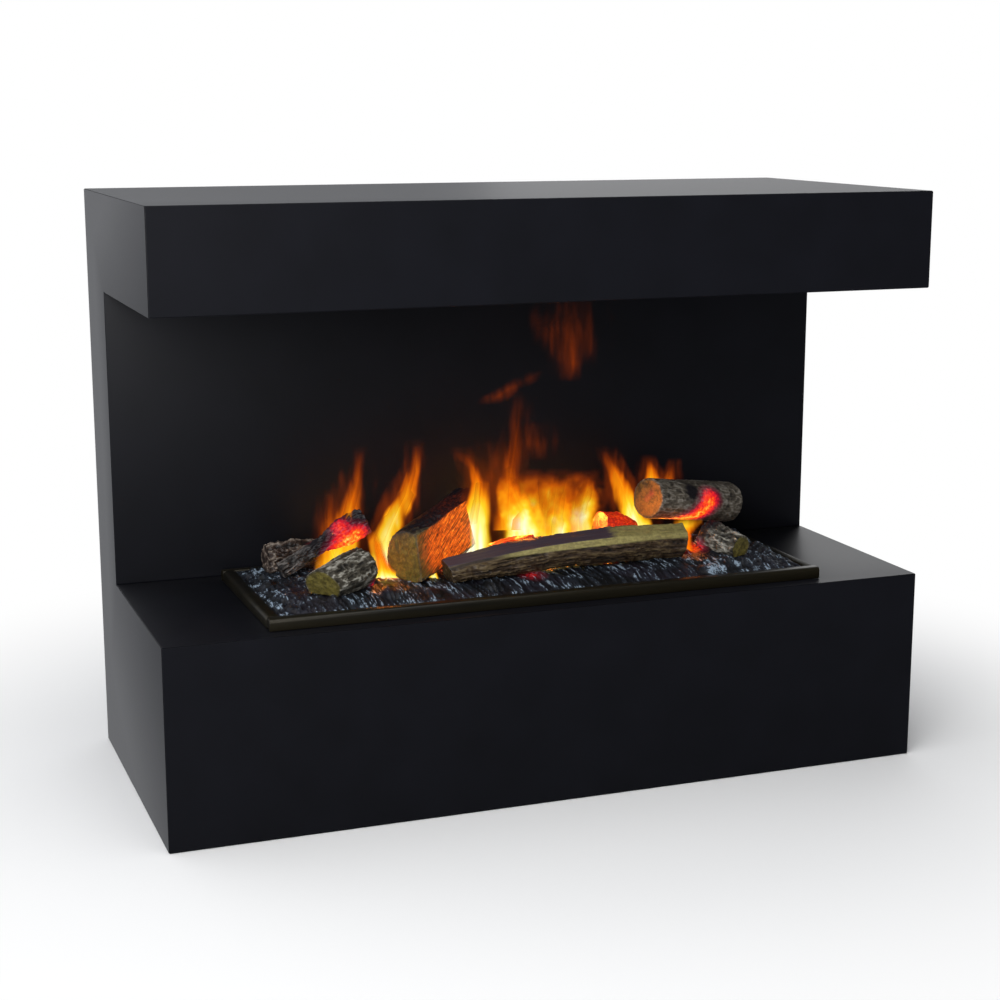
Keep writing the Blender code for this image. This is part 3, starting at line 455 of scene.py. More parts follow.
# Cast acrylic filter sheet, dyed amber.
AMBER = MadeFinish("amber_acrylic", "#e2791a", "#f08c22", 0.12, 0.05, ior=1.49, mottle_mm=30.0,
                   grain_mm=2.0, grain_height_mm=0.01, transmission=0.7)


@dataclass(frozen=True)
class CastFinish:
    """Cast resin painted as wood: bark or split wood by attribute, a painted highlight on the bark's crests
    and painted shade in its crevices, soot and glow.
    """

    name: str
    # The darkest bark colour is painted shade for the crevices, the lightest a painted highlight for the
    # crests.
    crevice_shade: str = "#120f0d"
    bark: str = "#3a3027"
    crest_highlight: str = "#8b8378"
    wood: str = "#8a7c34"
    wood_dark: str = "#4a3f17"
    soot: str = "#120d14"
    burnt: str = "#0a0406"
    fibre_glow: float = 0.0
    glow_stops: tuple[tuple[float, str], ...] = (
        (0.10, "#000000"), (0.32, "#5a0620"), (0.52, "#d80c26"), (0.72, "#ff3a12"), (0.88, "#ff8a1c"),
        (1.00, "#ffd45a"))

    def colours(self, tree: bpy.types.NodeTree, grain: Socket) -> tuple[Socket, Socket]:
        """Lay bark, wood and soot over each other.

        Args:
            tree: the material's node tree.
            grain: places in the log's own frame.

        Returns:
            The colour, and a fine noise for the relief.
        """
        crest_highlight = add_node(tree, "Attribute", attribute_name="crest_highlight").outputs["Fac"]
        wood = add_node(tree, "Attribute", attribute_name="wood").outputs["Fac"]
        soot = add_node(tree, "Attribute", attribute_name="soot").outputs["Fac"]
        # Bark scales are about 5 mm across and four times as long.
        bark_run = add_node(tree, "Mapping", {"Vector": grain, "Scale": (1.0, 1.0, 0.25)}).outputs[0]
        flecks = add_node(tree, "TexNoise", {"Vector": bark_run, "Scale": 1.0 / (5.0 * MM), "Detail": 6.0,
                                             "Roughness": 0.65}).outputs["Fac"]
        height = add_node(tree, "Math", {0: crest_highlight, 1: flecks}, operation="MULTIPLY").outputs[0]
        # Lighter crests are a painted highlight, and darker crevices are painted shade.
        bark = add_node(tree, "ValToRGB", {"Fac": height}, stops=(
            (0.08, self.crevice_shade), (0.30, self.bark), (0.52, self.crest_highlight))).outputs["Color"]
        # Wood fibres are 1.2 mm wide and run the length of the log.
        fibre_run = add_node(tree, "Mapping", {"Vector": grain, "Scale": (1.0, 1.0, 0.06)}).outputs[0]
        fibres = add_node(tree, "TexNoise", {"Vector": fibre_run, "Scale": 1.0 / (1.2 * MM),
                                             "Detail": 3.0}).outputs["Fac"]
        split = add_node(tree, "ValToRGB", {"Fac": fibres}, stops=(
            (0.28, self.wood_dark), (0.50, self.wood), (0.75, self.wood))).outputs["Color"]
        # Stains and small checks of about 6 mm lie over the bare wood.
        stains = add_node(tree, "TexNoise", {"Vector": grain, "Scale": 1.0 / (6.0 * MM), "Detail": 6.0,
                                             "Roughness": 0.7}).outputs["Fac"]
        stained = add_node(tree, "MapRange", {"Value": stains, "From Min": 0.40, "From Max": 0.60,
                                              "To Min": 0.75, "To Max": 0.0}).outputs["Result"]
        split = add_node(tree, "Mix", {"Factor": stained, 6: split, 7: linear(self.wood_dark)},
                         data_type="RGBA").outputs[2]
        body = add_node(tree, "Mix", {"Factor": wood, 6: bark, 7: split}, data_type="RGBA").outputs[2]
        # Soot ends in a ragged line that follows the bark's flecks.
        sooty = add_node(tree, "Math", {0: soot, 1: flecks}, operation="ADD").outputs[0]
        ragged = add_node(tree, "MapRange", {"Value": sooty, "From Min": 0.55,
                                             "From Max": 0.95}).outputs["Result"]
        colour = add_node(tree, "Mix", {"Factor": ragged, 6: body, 7: linear(self.soot)},
                          data_type="RGBA").outputs[2]
        return colour, fibres

    def make(self) -> bpy.types.Material:
        """Build the material."""
        material, tree = blank_material(self.name)
        grain = add_node(tree, "Attribute", attribute_name="grain").outputs["Vector"]
        colour, fibres = self.colours(tree, grain)
        glow = add_node(tree, "Attribute", attribute_name="glow").outputs["Fac"]
        # Glowing cells are about 4 mm, as where lamps shine through thin resin.
        cells = add_node(tree, "TexNoise", {"Vector": grain, "Scale": 1.0 / (4.0 * MM), "Detail": 5.0,
                                            "Roughness": 0.6}).outputs["Fac"]
        lit = add_node(tree, "MapRange", {"Value": cells, "From Min": 0.25, "From Max": 0.75, "To Min": 0.55,
                                          "To Max": 1.15}).outputs["Result"]
        burnt = add_node(tree, "Math", {0: glow, 1: 0.9}, operation="MULTIPLY", use_clamp=True).outputs[0]
        colour = add_node(tree, "Mix", {"Factor": burnt, 6: colour, 7: linear(self.burnt)},
                          data_type="RGBA").outputs[2]
        streak = add_node(tree, "MapRange", {
            "Value": fibres, "From Min": 0.30, "From Max": 0.70,
            "To Min": 1.0 - self.fibre_glow, "To Max": 1.0}).outputs["Result"]
        heat = add_node(tree, "Math", {0: glow, 1: lit}, operation="MULTIPLY").outputs[0]
        heat = add_node(tree, "Math", {0: heat, 1: streak}, operation="MULTIPLY").outputs[0]
        fire = add_node(tree, "ValToRGB", {"Fac": heat}, stops=self.glow_stops).outputs["Color"]
        relief = add_node(tree, "Bump", {"Height": cells, "Strength": 0.6, "Distance": 0.4 * MM}).outputs[0]
        shader = add_node(tree, "BsdfPrincipled", {
            "Base Color": colour, "Roughness": 0.52, "IOR": 1.5, "Normal": relief,
            "Emission Color": fire, "Emission Strength": 1.0})
        add_node(tree, "OutputMaterial", {"Surface": shader.outputs[0]})
        return material


@dataclass(frozen=True)
class CoalFinish:
    """Cast resin coals: blue-black, with a painted silver highlight on the crests and painted shade in the
    hollows, purple in places and red where lamps shine up.
    """

    name: str = "cast_resin_coals"
    # The hollow colour is painted shade, and the crest colour is a painted highlight.
    hollow_shade: str = "#08090c"
    slope: str = "#1f242c"
    crest_highlight: str = "#93a5b6"
    tint: str = "#261d2c"

    def make(self) -> bpy.types.Material:
        """Build the material."""
        material, tree = blank_material(self.name)
        place = add_node(tree, "TexCoord").outputs["Object"]
        crest_highlight = add_node(tree, "Attribute", attribute_name="crest_highlight").outputs["Fac"]
        glow = add_node(tree, "Attribute", attribute_name="glow").outputs["Fac"]
        # Fine creases lie 1.8 mm apart, slanting across the bed, seven times as long as they are wide.
        run = add_node(tree, "Mapping", {"Vector": place, "Rotation": (0.0, 0.0, math.radians(6.0)),
                                         "Scale": (1.0, 0.14, 1.0)}).outputs[0]
        flecks = add_node(tree, "TexNoise", {"Vector": run, "Scale": 1.0 / (1.8 * MM), "Detail": 3.0,
                                             "Roughness": 0.6, "Distortion": 0.4}).outputs["Fac"]
        # The painted silver highlight sits only on the sharpest creases, and only in patches of 25 mm.
        highlight_patches = add_node(tree, "TexNoise", {"Vector": place, "Scale": 1.0 / (25.0 * MM),
                                           "Detail": 3.0}).outputs["Fac"]
        patch = add_node(tree, "MapRange", {"Value": highlight_patches, "From Min": 0.35, "From Max": 0.65, "To Min": 0.72,
                                            "To Max": 1.1}).outputs["Result"]
        lit_crests = add_node(tree, "Math", {0: crest_highlight, 1: flecks}, operation="MULTIPLY").outputs[0]
        lit_crests = add_node(tree, "Math", {0: lit_crests, 1: patch}, operation="MULTIPLY").outputs[0]
        # Painted shade in the hollows, painted highlight on the crests.
        coals = add_node(tree, "ValToRGB", {"Fac": lit_crests}, stops=(
            (0.16, self.hollow_shade), (0.30, self.slope), (0.42, self.slope), (0.49, self.crest_highlight))).outputs["Color"]
        # Purple tints lie in patches of about 60 mm.
        clouds = add_node(tree, "TexNoise", {"Vector": place, "Scale": 1.0 / (60.0 * MM),
                                             "Detail": 2.0}).outputs["Fac"]
        share = add_node(tree, "MapRange", {"Value": clouds, "From Min": 0.45, "From Max": 0.65,
                                            "To Max": 0.3}).outputs["Result"]
        colour = add_node(tree, "Mix", {"Factor": share, 6: coals, 7: linear(self.tint)},
                          data_type="RGBA").outputs[2]
        # Glowing cells are about 5 mm, as where lamps shine up through thin resin.
        cells = add_node(tree, "TexNoise", {"Vector": place, "Scale": 1.0 / (5.0 * MM),
                                            "Detail": 4.0}).outputs["Fac"]
        broken = add_node(tree, "MapRange", {"Value": cells, "From Min": 0.3, "From Max": 0.7, "To Min": 0.4,
                                             "To Max": 1.2}).outputs["Result"]
        heat = add_node(tree, "Math", {0: glow, 1: broken}, operation="MULTIPLY").outputs[0]
        fire = add_node(tree, "ValToRGB", {"Fac": heat}, stops=(
            (0.08, "#000000"), (0.30, "#520409"), (0.55, "#c81408"), (0.75, "#ff5a0a"), (0.90, "#ffb21c"),
            (1.00, "#fff0a0"))).outputs["Color"]
        relief = add_node(tree, "Bump", {"Height": flecks, "Strength": 0.8, "Distance": 0.9 * MM}).outputs[0]
        shader = add_node(tree, "BsdfPrincipled", {
            "Base Color": colour, "Roughness": 0.50, "IOR": 1.42, "Normal": relief,
            "Emission Color": fire, "Emission Strength": 1.0})
        add_node(tree, "OutputMaterial", {"Surface": shader.outputs[0]})
        return material


@dataclass(frozen=True)
class FlameFinish:
    """Fine water mist lit from below by amber lamps: it only shows where the lamps light it."""

    name: str = "lamp_lit_mist"

    def make(self) -> bpy.types.Material:
        """Build the material."""
        material, tree = blank_material(self.name)
        heat = add_node(tree, "Attribute", attribute_name="warmth").outputs["Fac"]
        body = add_node(tree, "Attribute", attribute_name="body").outputs["Fac"]
        fire = add_node(tree, "ValToRGB", {"Fac": heat}, stops=(
            (0.00, "#3a1404"), (0.22, "#a03c08"), (0.42, "#f07008"), (0.58, "#ff9c10"), (0.74, "#ffd028"),
            (0.88, "#fff27c"), (1.00, "#ffffd8"))).outputs["Color"]
        shader = add_node(tree, "BsdfPrincipled", {
            "Base Color": (0.0, 0.0, 0.0, 1.0), "Roughness": 1.0, "Specular IOR Level": 0.0,
            "Emission Color": fire, "Emission Strength": 1.15, "Alpha": body})
        add_node(tree, "OutputMaterial", {"Surface": shader.outputs[0]})
        return material


CAD_FINISHES = {
    "black_lacquer": LACQUER, "black_board": HARDBOARD, "zinc_plated_steel": ZINC,
    "black_sheet_steel": POWDER_COAT, "dark_moulded_plastic": ABS, "bronzed_trim": BRONZE_WITH_FIRE_REFLECTION,
    "smoked_tank_plastic": TANK_PLASTIC, "blue_cap_plastic": CAP_PLASTIC, "red_plastic": ROCKER_PLASTIC,
    "button_plastic": SILICONE, "lamp_glass": LAMP_GLASS, "amber_plastic": AMBER,
}


# ---------------------------------------------------------------- studio


@dataclass(frozen=True)
class Softbox:
    """A soft square lamp: where it hangs, the point that it faces, its power and its side."""

    name: str
    place: tuple[float, float, float]
    target: tuple[float, float, float]
    watts: float
    size: float = 1.6

    def hang(self) -> None:
        """Make the lamp, out of the camera's sight."""
        lamp = bpy.data.lights.new(self.name, "AREA")
        lamp.size = self.size
        lamp.energy = self.watts
        box = bpy.data.objects.new(self.name, lamp)
        box.location = self.place
        away = box.location - type(box.location)(self.target)
        box.rotation_euler = away.to_track_quat("Z", "Y").to_euler()
        box.visible_camera = False
        bpy.context.scene.collection.objects.link(box)


@dataclass(frozen=True)
class Studio:
    """Pale floor, soft light and the camera."""

    camera_place: tuple[float, float, float] = (-0.86819, -2.30939, 0.86443)
    camera_turn: tuple[float, float, float] = (78.0605, 0.0, -20.5022)
    lens: float = 68.374
    sensor: float = 36.0
    floor_size: float = 14.0
    floor_drop: float = 0.5 * MM
    floor_fade: tuple[float, float] = (0.45, 1.15)
    bright_side: tuple[float, float, float] = (-0.60, 0.60, 0.30)
    sky_spread: tuple[float, float] = (-0.25, 0.80)
    sky_strength: tuple[float, float] = (0.08, 0.90)
    softboxes: tuple[Softbox, ...] = (
        Softbox("front_softbox", (-1.5, -2.3, 1.3), (0.0, -0.1, 0.3), 45.0),
        Softbox("top_softbox", (-0.3, -0.6, 2.4), (0.0, 0.0, 0.4), 24.0),
        Softbox("rear_softbox", (1.6, 2.2, 0.9), (0.0, 0.2, 0.4), 7.0))

    def build(self) -> None:
        """Make the camera, the floor, the sky and the lamps."""
        self.add_camera()
        self.add_floor()
        self.light_sky()
        for softbox in self.softboxes:
            softbox.hang()

    def add_camera(self) -> None:
        """Make the camera."""
        lens = bpy.data.cameras.new("camera")
        lens.lens = self.lens
        lens.sensor_width = self.sensor
        camera = bpy.data.objects.new("camera", lens)
        camera.location = self.camera_place
        camera.rotation_euler = [math.radians(turn) for turn in self.camera_turn]
        bpy.context.scene.collection.objects.link(camera)
        bpy.context.scene.camera = camera

    def add_floor(self) -> None:
        """Lay the pale floor, seen by the camera but not mirrored in the lacquer."""
        clear_selection()
        bpy.ops.mesh.primitive_plane_add(size=self.floor_size, location=(0.0, 0.0, -self.floor_drop))
        floor = bpy.context.object
        floor.name = "studio_floor"
        material, tree = blank_material("studio_paper")
        place = add_node(tree, "TexCoord").outputs["Object"]
        away = add_node(tree, "VectorMath", {0: place}, operation="LENGTH").outputs["Value"]
        near, distant = self.floor_fade
        far = add_node(tree, "MapRange", {"Value": away, "From Min": near, "From Max": distant},
                       interpolation_type="SMOOTHSTEP").outputs["Result"]
        paper = add_node(tree, "BsdfDiffuse", {"Color": linear("#f7f7f7")}).outputs[0]
        bright = add_node(tree, "Emission", {"Color": linear("#ffffff"), "Strength": 1.0}).outputs[0]
        shader = add_node(tree, "MixShader", {0: far, 1: paper, 2: bright})
        add_node(tree, "OutputMaterial", {"Surface": shader.outputs[0]})
        floor.data.materials.append(material)
        floor.visible_glossy = False

    def light_sky(self) -> None:
        """Light the room: bright behind, to the left and above, dim in front, plain white to the camera."""
        world = bpy.data.worlds.new("studio_sky")
        bpy.context.scene.world = world
        world.use_nodes = True
        tree = world.node_tree
        tree.nodes.clear()
        way = add_node(tree, "TexCoord").outputs["Generated"]
        towards = add_node(tree, "VectorMath", {0: way, 1: self.bright_side},
                           operation="DOT_PRODUCT").outputs["Value"]
        share = add_node(tree, "MapRange", {
            "Value": towards, "From Min": self.sky_spread[0], "From Max": self.sky_spread[1],
            "To Min": self.sky_strength[0], "To Max": self.sky_strength[1]},
                         interpolation_type="SMOOTHSTEP").outputs["Result"]
        room = add_node(tree, "Background", {"Color": linear("#f4f6fa"), "Strength": share}).outputs[0]
        paper = add_node(tree, "Background", {"Color": linear("#ffffff"), "Strength": 1.0}).outputs[0]
        seen = add_node(tree, "LightPath").outputs["Is Camera Ray"]
        sky = add_node(tree, "MixShader", {0: seen, 1: room, 2: paper}).outputs[0]
        add_node(tree, "OutputWorld", {"Surface": sky})


# ---------------------------------------------------------------- surround, trim and fittings


@dataclass(frozen=True)
class Eased:
    """A CAD node that is shown with its edges eased: the rounding's width and its faces."""

    node: str
    width: float
    segments: int = 2
    degrees: float = 30.0


@dataclass(frozen=True)
class Carcase:
    """The lacquered boards and what is screwed to the surround's back, all on its own body."""

    edge: float = 1.0 * MM
    edge_faces: int = 3
    boards: tuple[str, ...] = (
        "side_panel_left", "side_panel_right", "base_bottom_panel", "hood_top_panel", "hood_front_panel",
        "hood_soffit_panel", "fire_back_panel", "hearth_top_panel", "hearth_front_panel")
    fittings: tuple[Eased, ...] = (
        Eased("rear_board", 0.6 * MM), Eased("rear_service_cover", 0.35 * MM),
        Eased("power_inlet", 0.5 * MM), Eased("hanging_rail", 0.6 * MM, 3), Eased("wall_rail", 0.6 * MM, 3),
        Eased("cover_screw_1", 0.3 * MM), Eased("cover_screw_2", 0.3 * MM), Eased("cover_screw_3", 0.3 * MM),
        Eased("cover_screw_4", 0.3 * MM), Eased("cassette_housing", 0.4 * MM),
        Eased("power_supply", 1.0 * MM, 3), Eased("control_box", 1.0 * MM, 3),
        Eased("lamp_tray", 0.5 * MM), Eased("sump_basin", 0.8 * MM, 2))

    def build(self) -> None:
        """Ease the edges of every board and fitting."""
        for board in self.boards:
            ease_node(Eased(board, self.edge, self.edge_faces), SURROUND)
        for fitting in self.fittings:
            ease_node(fitting, SURROUND)


def ease_node(eased: Eased, body: str) -> bpy.types.Object:
    """Show a CAD node with its edges eased, in the finish that its slot asks for.

    Args:
        eased: the node and its rounding.
        body: the CAD body that it rides on.

    Returns:
        The new piece.
    """
    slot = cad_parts[eased.node].data.materials[0].name.split(".")[0]
    piece = copy_node(eased.node, eased.node + "_finished")
    apply_bevel(piece, eased.width, eased.segments, eased.degrees)
    smooth(piece, eased.degrees)
    settle(piece, finish_material(slot), body, eased.node)
    return piece


def finish_material(slot: str) -> bpy.types.Material:
    """Find or build the material of one of the record's slots."""
    finish = CAD_FINISHES[slot]
    return bpy.data.materials.get(finish.name) or finish.make()


@dataclass(frozen=True)
class Trim:
    """The bronzed frame round the bed, whose warm tone is partly a painted reflection of the flames: four
    bars with a rounded outer shoulder.
    """

    shoulder: float = 5.0 * MM
    shoulder_faces: int = 8
    edge: float = 0.7 * MM
    edge_faces: int = 2
    edge_degrees: float = 40.0
    smooth_degrees: float = 35.0

    def build(self) -> None:
        """Round and finish the four bars."""
        self.bar("trim_bar_front", 1, -1.0)
        self.bar("trim_bar_back", 1, 1.0)
        self.bar("trim_bar_left", 0, -1.0)
        self.bar("trim_bar_right", 0, 1.0)

    def bar(self, node: str, axis: int, side: float) -> None:
        """Round one bar's outer shoulder and ease its other edges.

        Args:
            node: the CAD node.
            axis: the axis across the bar.
            side: which way along it is outwards.
        """
        low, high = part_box(node)
        outer = high[axis] if side > 0.0 else low[axis]
        piece = copy_node(node, node + "_finished")
        corners = [vertex.co.copy() for vertex in piece.data.vertices]
        on_shoulder = [abs(corner[axis] - outer) < TOUCHING and abs(corner.z - high.z) < TOUCHING
                       for corner in corners]
        pick(piece, "EDGE", lambda edge: all(on_shoulder[number] for number in edge.vertices))
        bpy.ops.mesh.bevel(offset=self.shoulder, segments=self.shoulder_faces, affect="EDGES")
        bpy.ops.object.mode_set(mode="OBJECT")
        apply_bevel(piece, self.edge, self.edge_faces, self.edge_degrees)
        smooth(piece, self.smooth_degrees)
        settle(piece, finish_material("bronzed_trim"), SURROUND, node)


# ---------------------------------------------------------------- fuel bed


@dataclass(frozen=True)
class FuelBed:
    """The cast bed of coals: streaked ridges and lumps on a crown, open at the mist slot.

    big_lumps holds (x, y, reach, rise), in the fire's frame. Between rough_from and rough_to from the middle,
    the even ridges give way to loose chunks.
    """

    columns: int = 480
    rows: int = 120
    slot_left: float = -0.260
    slot_right: float = 0.190
    slot_front: float = 0.012
    slot_back: float = 0.038
    base: float = 0.0029
    ridge_spacing: float = 4.2 * MM
    ridge_length: float = 34.0 * MM
    ridge_height: float = 2.0 * MM
    lump_size: float = 22.0 * MM
    lump_height: float = 4.0 * MM
    slant: float = 0.10
    bend: float = 5.0 * MM
    bend_size: float = 0.04
    chunk_size: float = 8.0 * MM
    chunk_height: float = 3.0 * MM
    rough_middle: float = -0.02
    rough_from: float = 0.20
    rough_to: float = 0.32
    calmed: float = 0.4
    wobble: float = 0.003
    wobble_size: float = 0.009
    edge_fade: tuple[float, float] = (0.5 * MM, 4.0 * MM)
    smooth_degrees: float = 60.0
    clods: int = 70
    clod_seed: int = 11
    clod_x: tuple[float, float] = (0.19, 0.345)
    clod_y: tuple[float, float] = (-0.105, 0.105)
    clod_reach: tuple[float, float] = (0.005, 0.011)
    clod_rise: tuple[float, float] = (0.0015, 0.0045)
    big_lumps: tuple[tuple[float, float, float, float], ...] = (
        (-0.071, -0.092, 0.014, 0.007), (-0.203, -0.088, 0.013, 0.006), (0.330, -0.040, 0.018, 0.008),
        (0.318, 0.010, 0.020, 0.010), (0.334, 0.040, 0.014, 0.008), (0.300, 0.060, 0.020, 0.008),
        (-0.335, 0.010, 0.012, 0.006), (-0.318, -0.070, 0.016, 0.004), (0.300, -0.088, 0.014, 0.004),
        (0.214, -0.074, 0.010, 0.004), (0.120, -0.088, 0.012, 0.003), (-0.150, -0.096, 0.012, 0.004))
    glows: tuple[Spot, ...] = (
        Spot(-0.185, 0.004, 0.02, 0.030, 1.0), Spot(-0.176, -0.014, 0.02, 0.016, 0.8),
        Spot(-0.110, 0.020, 0.02, 0.030, 0.8), Spot(-0.060, 0.015, 0.02, 0.030, 1.0),
        Spot(0.020, 0.012, 0.02, 0.040, 1.0), Spot(0.090, 0.012, 0.02, 0.040, 1.0),
        Spot(0.235, -0.012, 0.02, 0.026, 0.9), Spot(-0.010, -0.068, 0.02, 0.018, 0.42),
        Spot(-0.230, 0.010, 0.02, 0.024, 0.7), Spot(0.190, 0.014, 0.02, 0.030, 0.8))

    def lumps(self, x: Points, y: Points) -> Points:
        """Height of the separate lumps: the big ones, and small clods strewn towards the ends."""
        draw = np.random.default_rng(self.clod_seed)
        height = np.zeros_like(x)
        strewn = []
        for _ in range(self.clods):
            side = draw.choice((-1.0, 1.0))
            strewn.append((side * draw.uniform(*self.clod_x), draw.uniform(*self.clod_y),
                           draw.uniform(*self.clod_reach), draw.uniform(*self.clod_rise)))
        for lump_x, lump_y, reach, rise in (*self.big_lumps, *strewn):
            away = np.hypot(x - lump_x, y - lump_y) / reach
            height = np.maximum(height, rise * np.clip(1.0 - away ** 2, 0.0, 1.0) ** 0.7)
        return height

    def relief(self, x: Points, y: Points) -> tuple[Points, Points]:
        """Height of the coals over the plain crown.

        Args:
            x: places along the bed, in the fire's frame.
            y: places across it.

        Returns:
            The height, and how near a crest each place is, from 0 to 1, which places the painted highlight.
        """
        nothing = np.zeros_like(x)
        place = np.stack((x, y, nothing), 1)
        bend = self.bend * noise(place / self.bend_size, 3)
        run = (x + self.slant * y + bend) / self.ridge_spacing
        ridges = ridged(np.stack((run, y / self.ridge_length, nothing), 1), 2, 11)
        swell = fractal(place / self.lump_size, 3, 23)
        broken = ridged(place / self.chunk_size, 2, 31)
        rough = ease(np.abs(x - self.rough_middle), self.rough_from, self.rough_to)
        calm = 1.0 - self.calmed * rough
        height = self.ridge_height * (ridges - 0.5) * calm
        height += self.lump_height * swell * (0.5 + 0.5 * rough) + self.chunk_height * (broken - 0.4) * rough
        height += self.lumps(x + self.wobble * noise(place / self.wobble_size, 41),
                             y + self.wobble * noise(place / self.wobble_size, 42))
        # How near a crest each place is: the finish paints a highlight there.
        crest_highlight = np.clip(0.15 + 0.95 * (ridges * calm + broken * 0.5 * rough), 0.0, 1.0)
        inwards = np.minimum(BED_HALF_LENGTH - np.abs(x), BED_HALF_WIDTH - np.abs(y))
        return height * ease(inwards, *self.edge_fade), crest_highlight

    def build(self) -> None:
        """Model the bed and give it its finish."""
        clear_selection()
        bpy.ops.mesh.primitive_grid_add(x_subdivisions=self.columns, y_subdivisions=self.rows, size=1.0)
        piece = bpy.context.object
        piece.name = "coal_bed_cast"
        points = read_points(piece)
        points[:, 0] *= 2.0 * BED_HALF_LENGTH
        points[:, 1] *= 2.0 * BED_HALF_WIDTH
        x, y = points[:, 0].copy(), points[:, 1].copy()
        height, _ = self.relief(x, y)
        points[:, 2] = bed_top(x, y) + height
        write_points(piece, points)
        self.cut_slot(piece)
        self.close_below(piece)
        self.paint_heat(piece)
        write_points(piece, read_points(piece) + FIRE_ORIGIN)
        smooth(piece, self.smooth_degrees)
        settle(piece, CoalFinish().make(), BED_BODY, "fuel_bed")

    def cut_slot(self, piece: bpy.types.Object) -> None:
        """Take out the faces over the mist slot."""
        pick(piece, "FACE", lambda face: (self.slot_left < face.center.x < self.slot_right
                                          and self.slot_front < face.center.y < self.slot_back))
        bpy.ops.mesh.delete(type="FACE")
        bpy.ops.object.mode_set(mode="OBJECT")

    def close_below(self, piece: bpy.types.Object) -> None:
        """Draw the outer and slot edges down and close the underside between them."""
        pick(piece, "EDGE", lambda edge: False)
        bpy.ops.mesh.select_non_manifold()
        bpy.ops.mesh.extrude_region_move(TRANSFORM_OT_translate={"value": (0.0, 0.0, -0.004)})
        bpy.ops.object.mode_set(mode="OBJECT")
        for vertex in piece.data.vertices:
            if vertex.select:
                vertex.co.z = self.base
        bpy.ops.object.mode_set(mode="EDIT")
        bpy.ops.mesh.bridge_edge_loops()
        bpy.ops.object.mode_set(mode="OBJECT")
        outwards(piece)

    def paint_heat(self, piece: bpy.types.Object) -> None:
        """Keep the crests, where the finish paints a highlight, and the glowing places for the finish."""
        points = read_points(piece)
        _, crest_highlight = self.relief(points[:, 0], points[:, 1])
        paint(piece, "crest_highlight", crest_highlight)
        paint(piece, "glow", patches(self.glows, points))


# ---------------------------------------------------------------- logs


class EndCut(Enum):
    """How a log's end looks."""

    SAWN = 1.0
    BURNT = 0.0


class Split(Enum):
    """How a log's flat faces look: the share of bare wood that shows on them."""

    BARE = 1.0
    CHARRED = 0.0


# Real sizes of the patterns on every log, as two sizes across it and one along it: slow swells, fine bark
# scales and split fibres. The clods of a broken end are as long as they are wide.
SWELL_SIZE = np.array((18.0 * MM, 18.0 * MM, 40.0 * MM))
SCALE_SIZE = np.array((2.6 * MM, 2.6 * MM, 7.0 * MM))
FIBRE_SIZE = np.array((2.4 * MM, 2.4 * MM, 40.0 * MM))
CLOD_SIZE = 5.0 * MM
FIBRE_HEIGHT = 0.45 * MM
CLOD_HEIGHT = 1.2 * MM
# How far a log's underside stays over the bed's crown.
BED_CLEARANCE = 0.6 * MM
# A split plane limits the skin only where it is faced by more than this cosine, and nothing does elsewhere.
GRAZING = 0.05
NO_LIMIT = 9.0


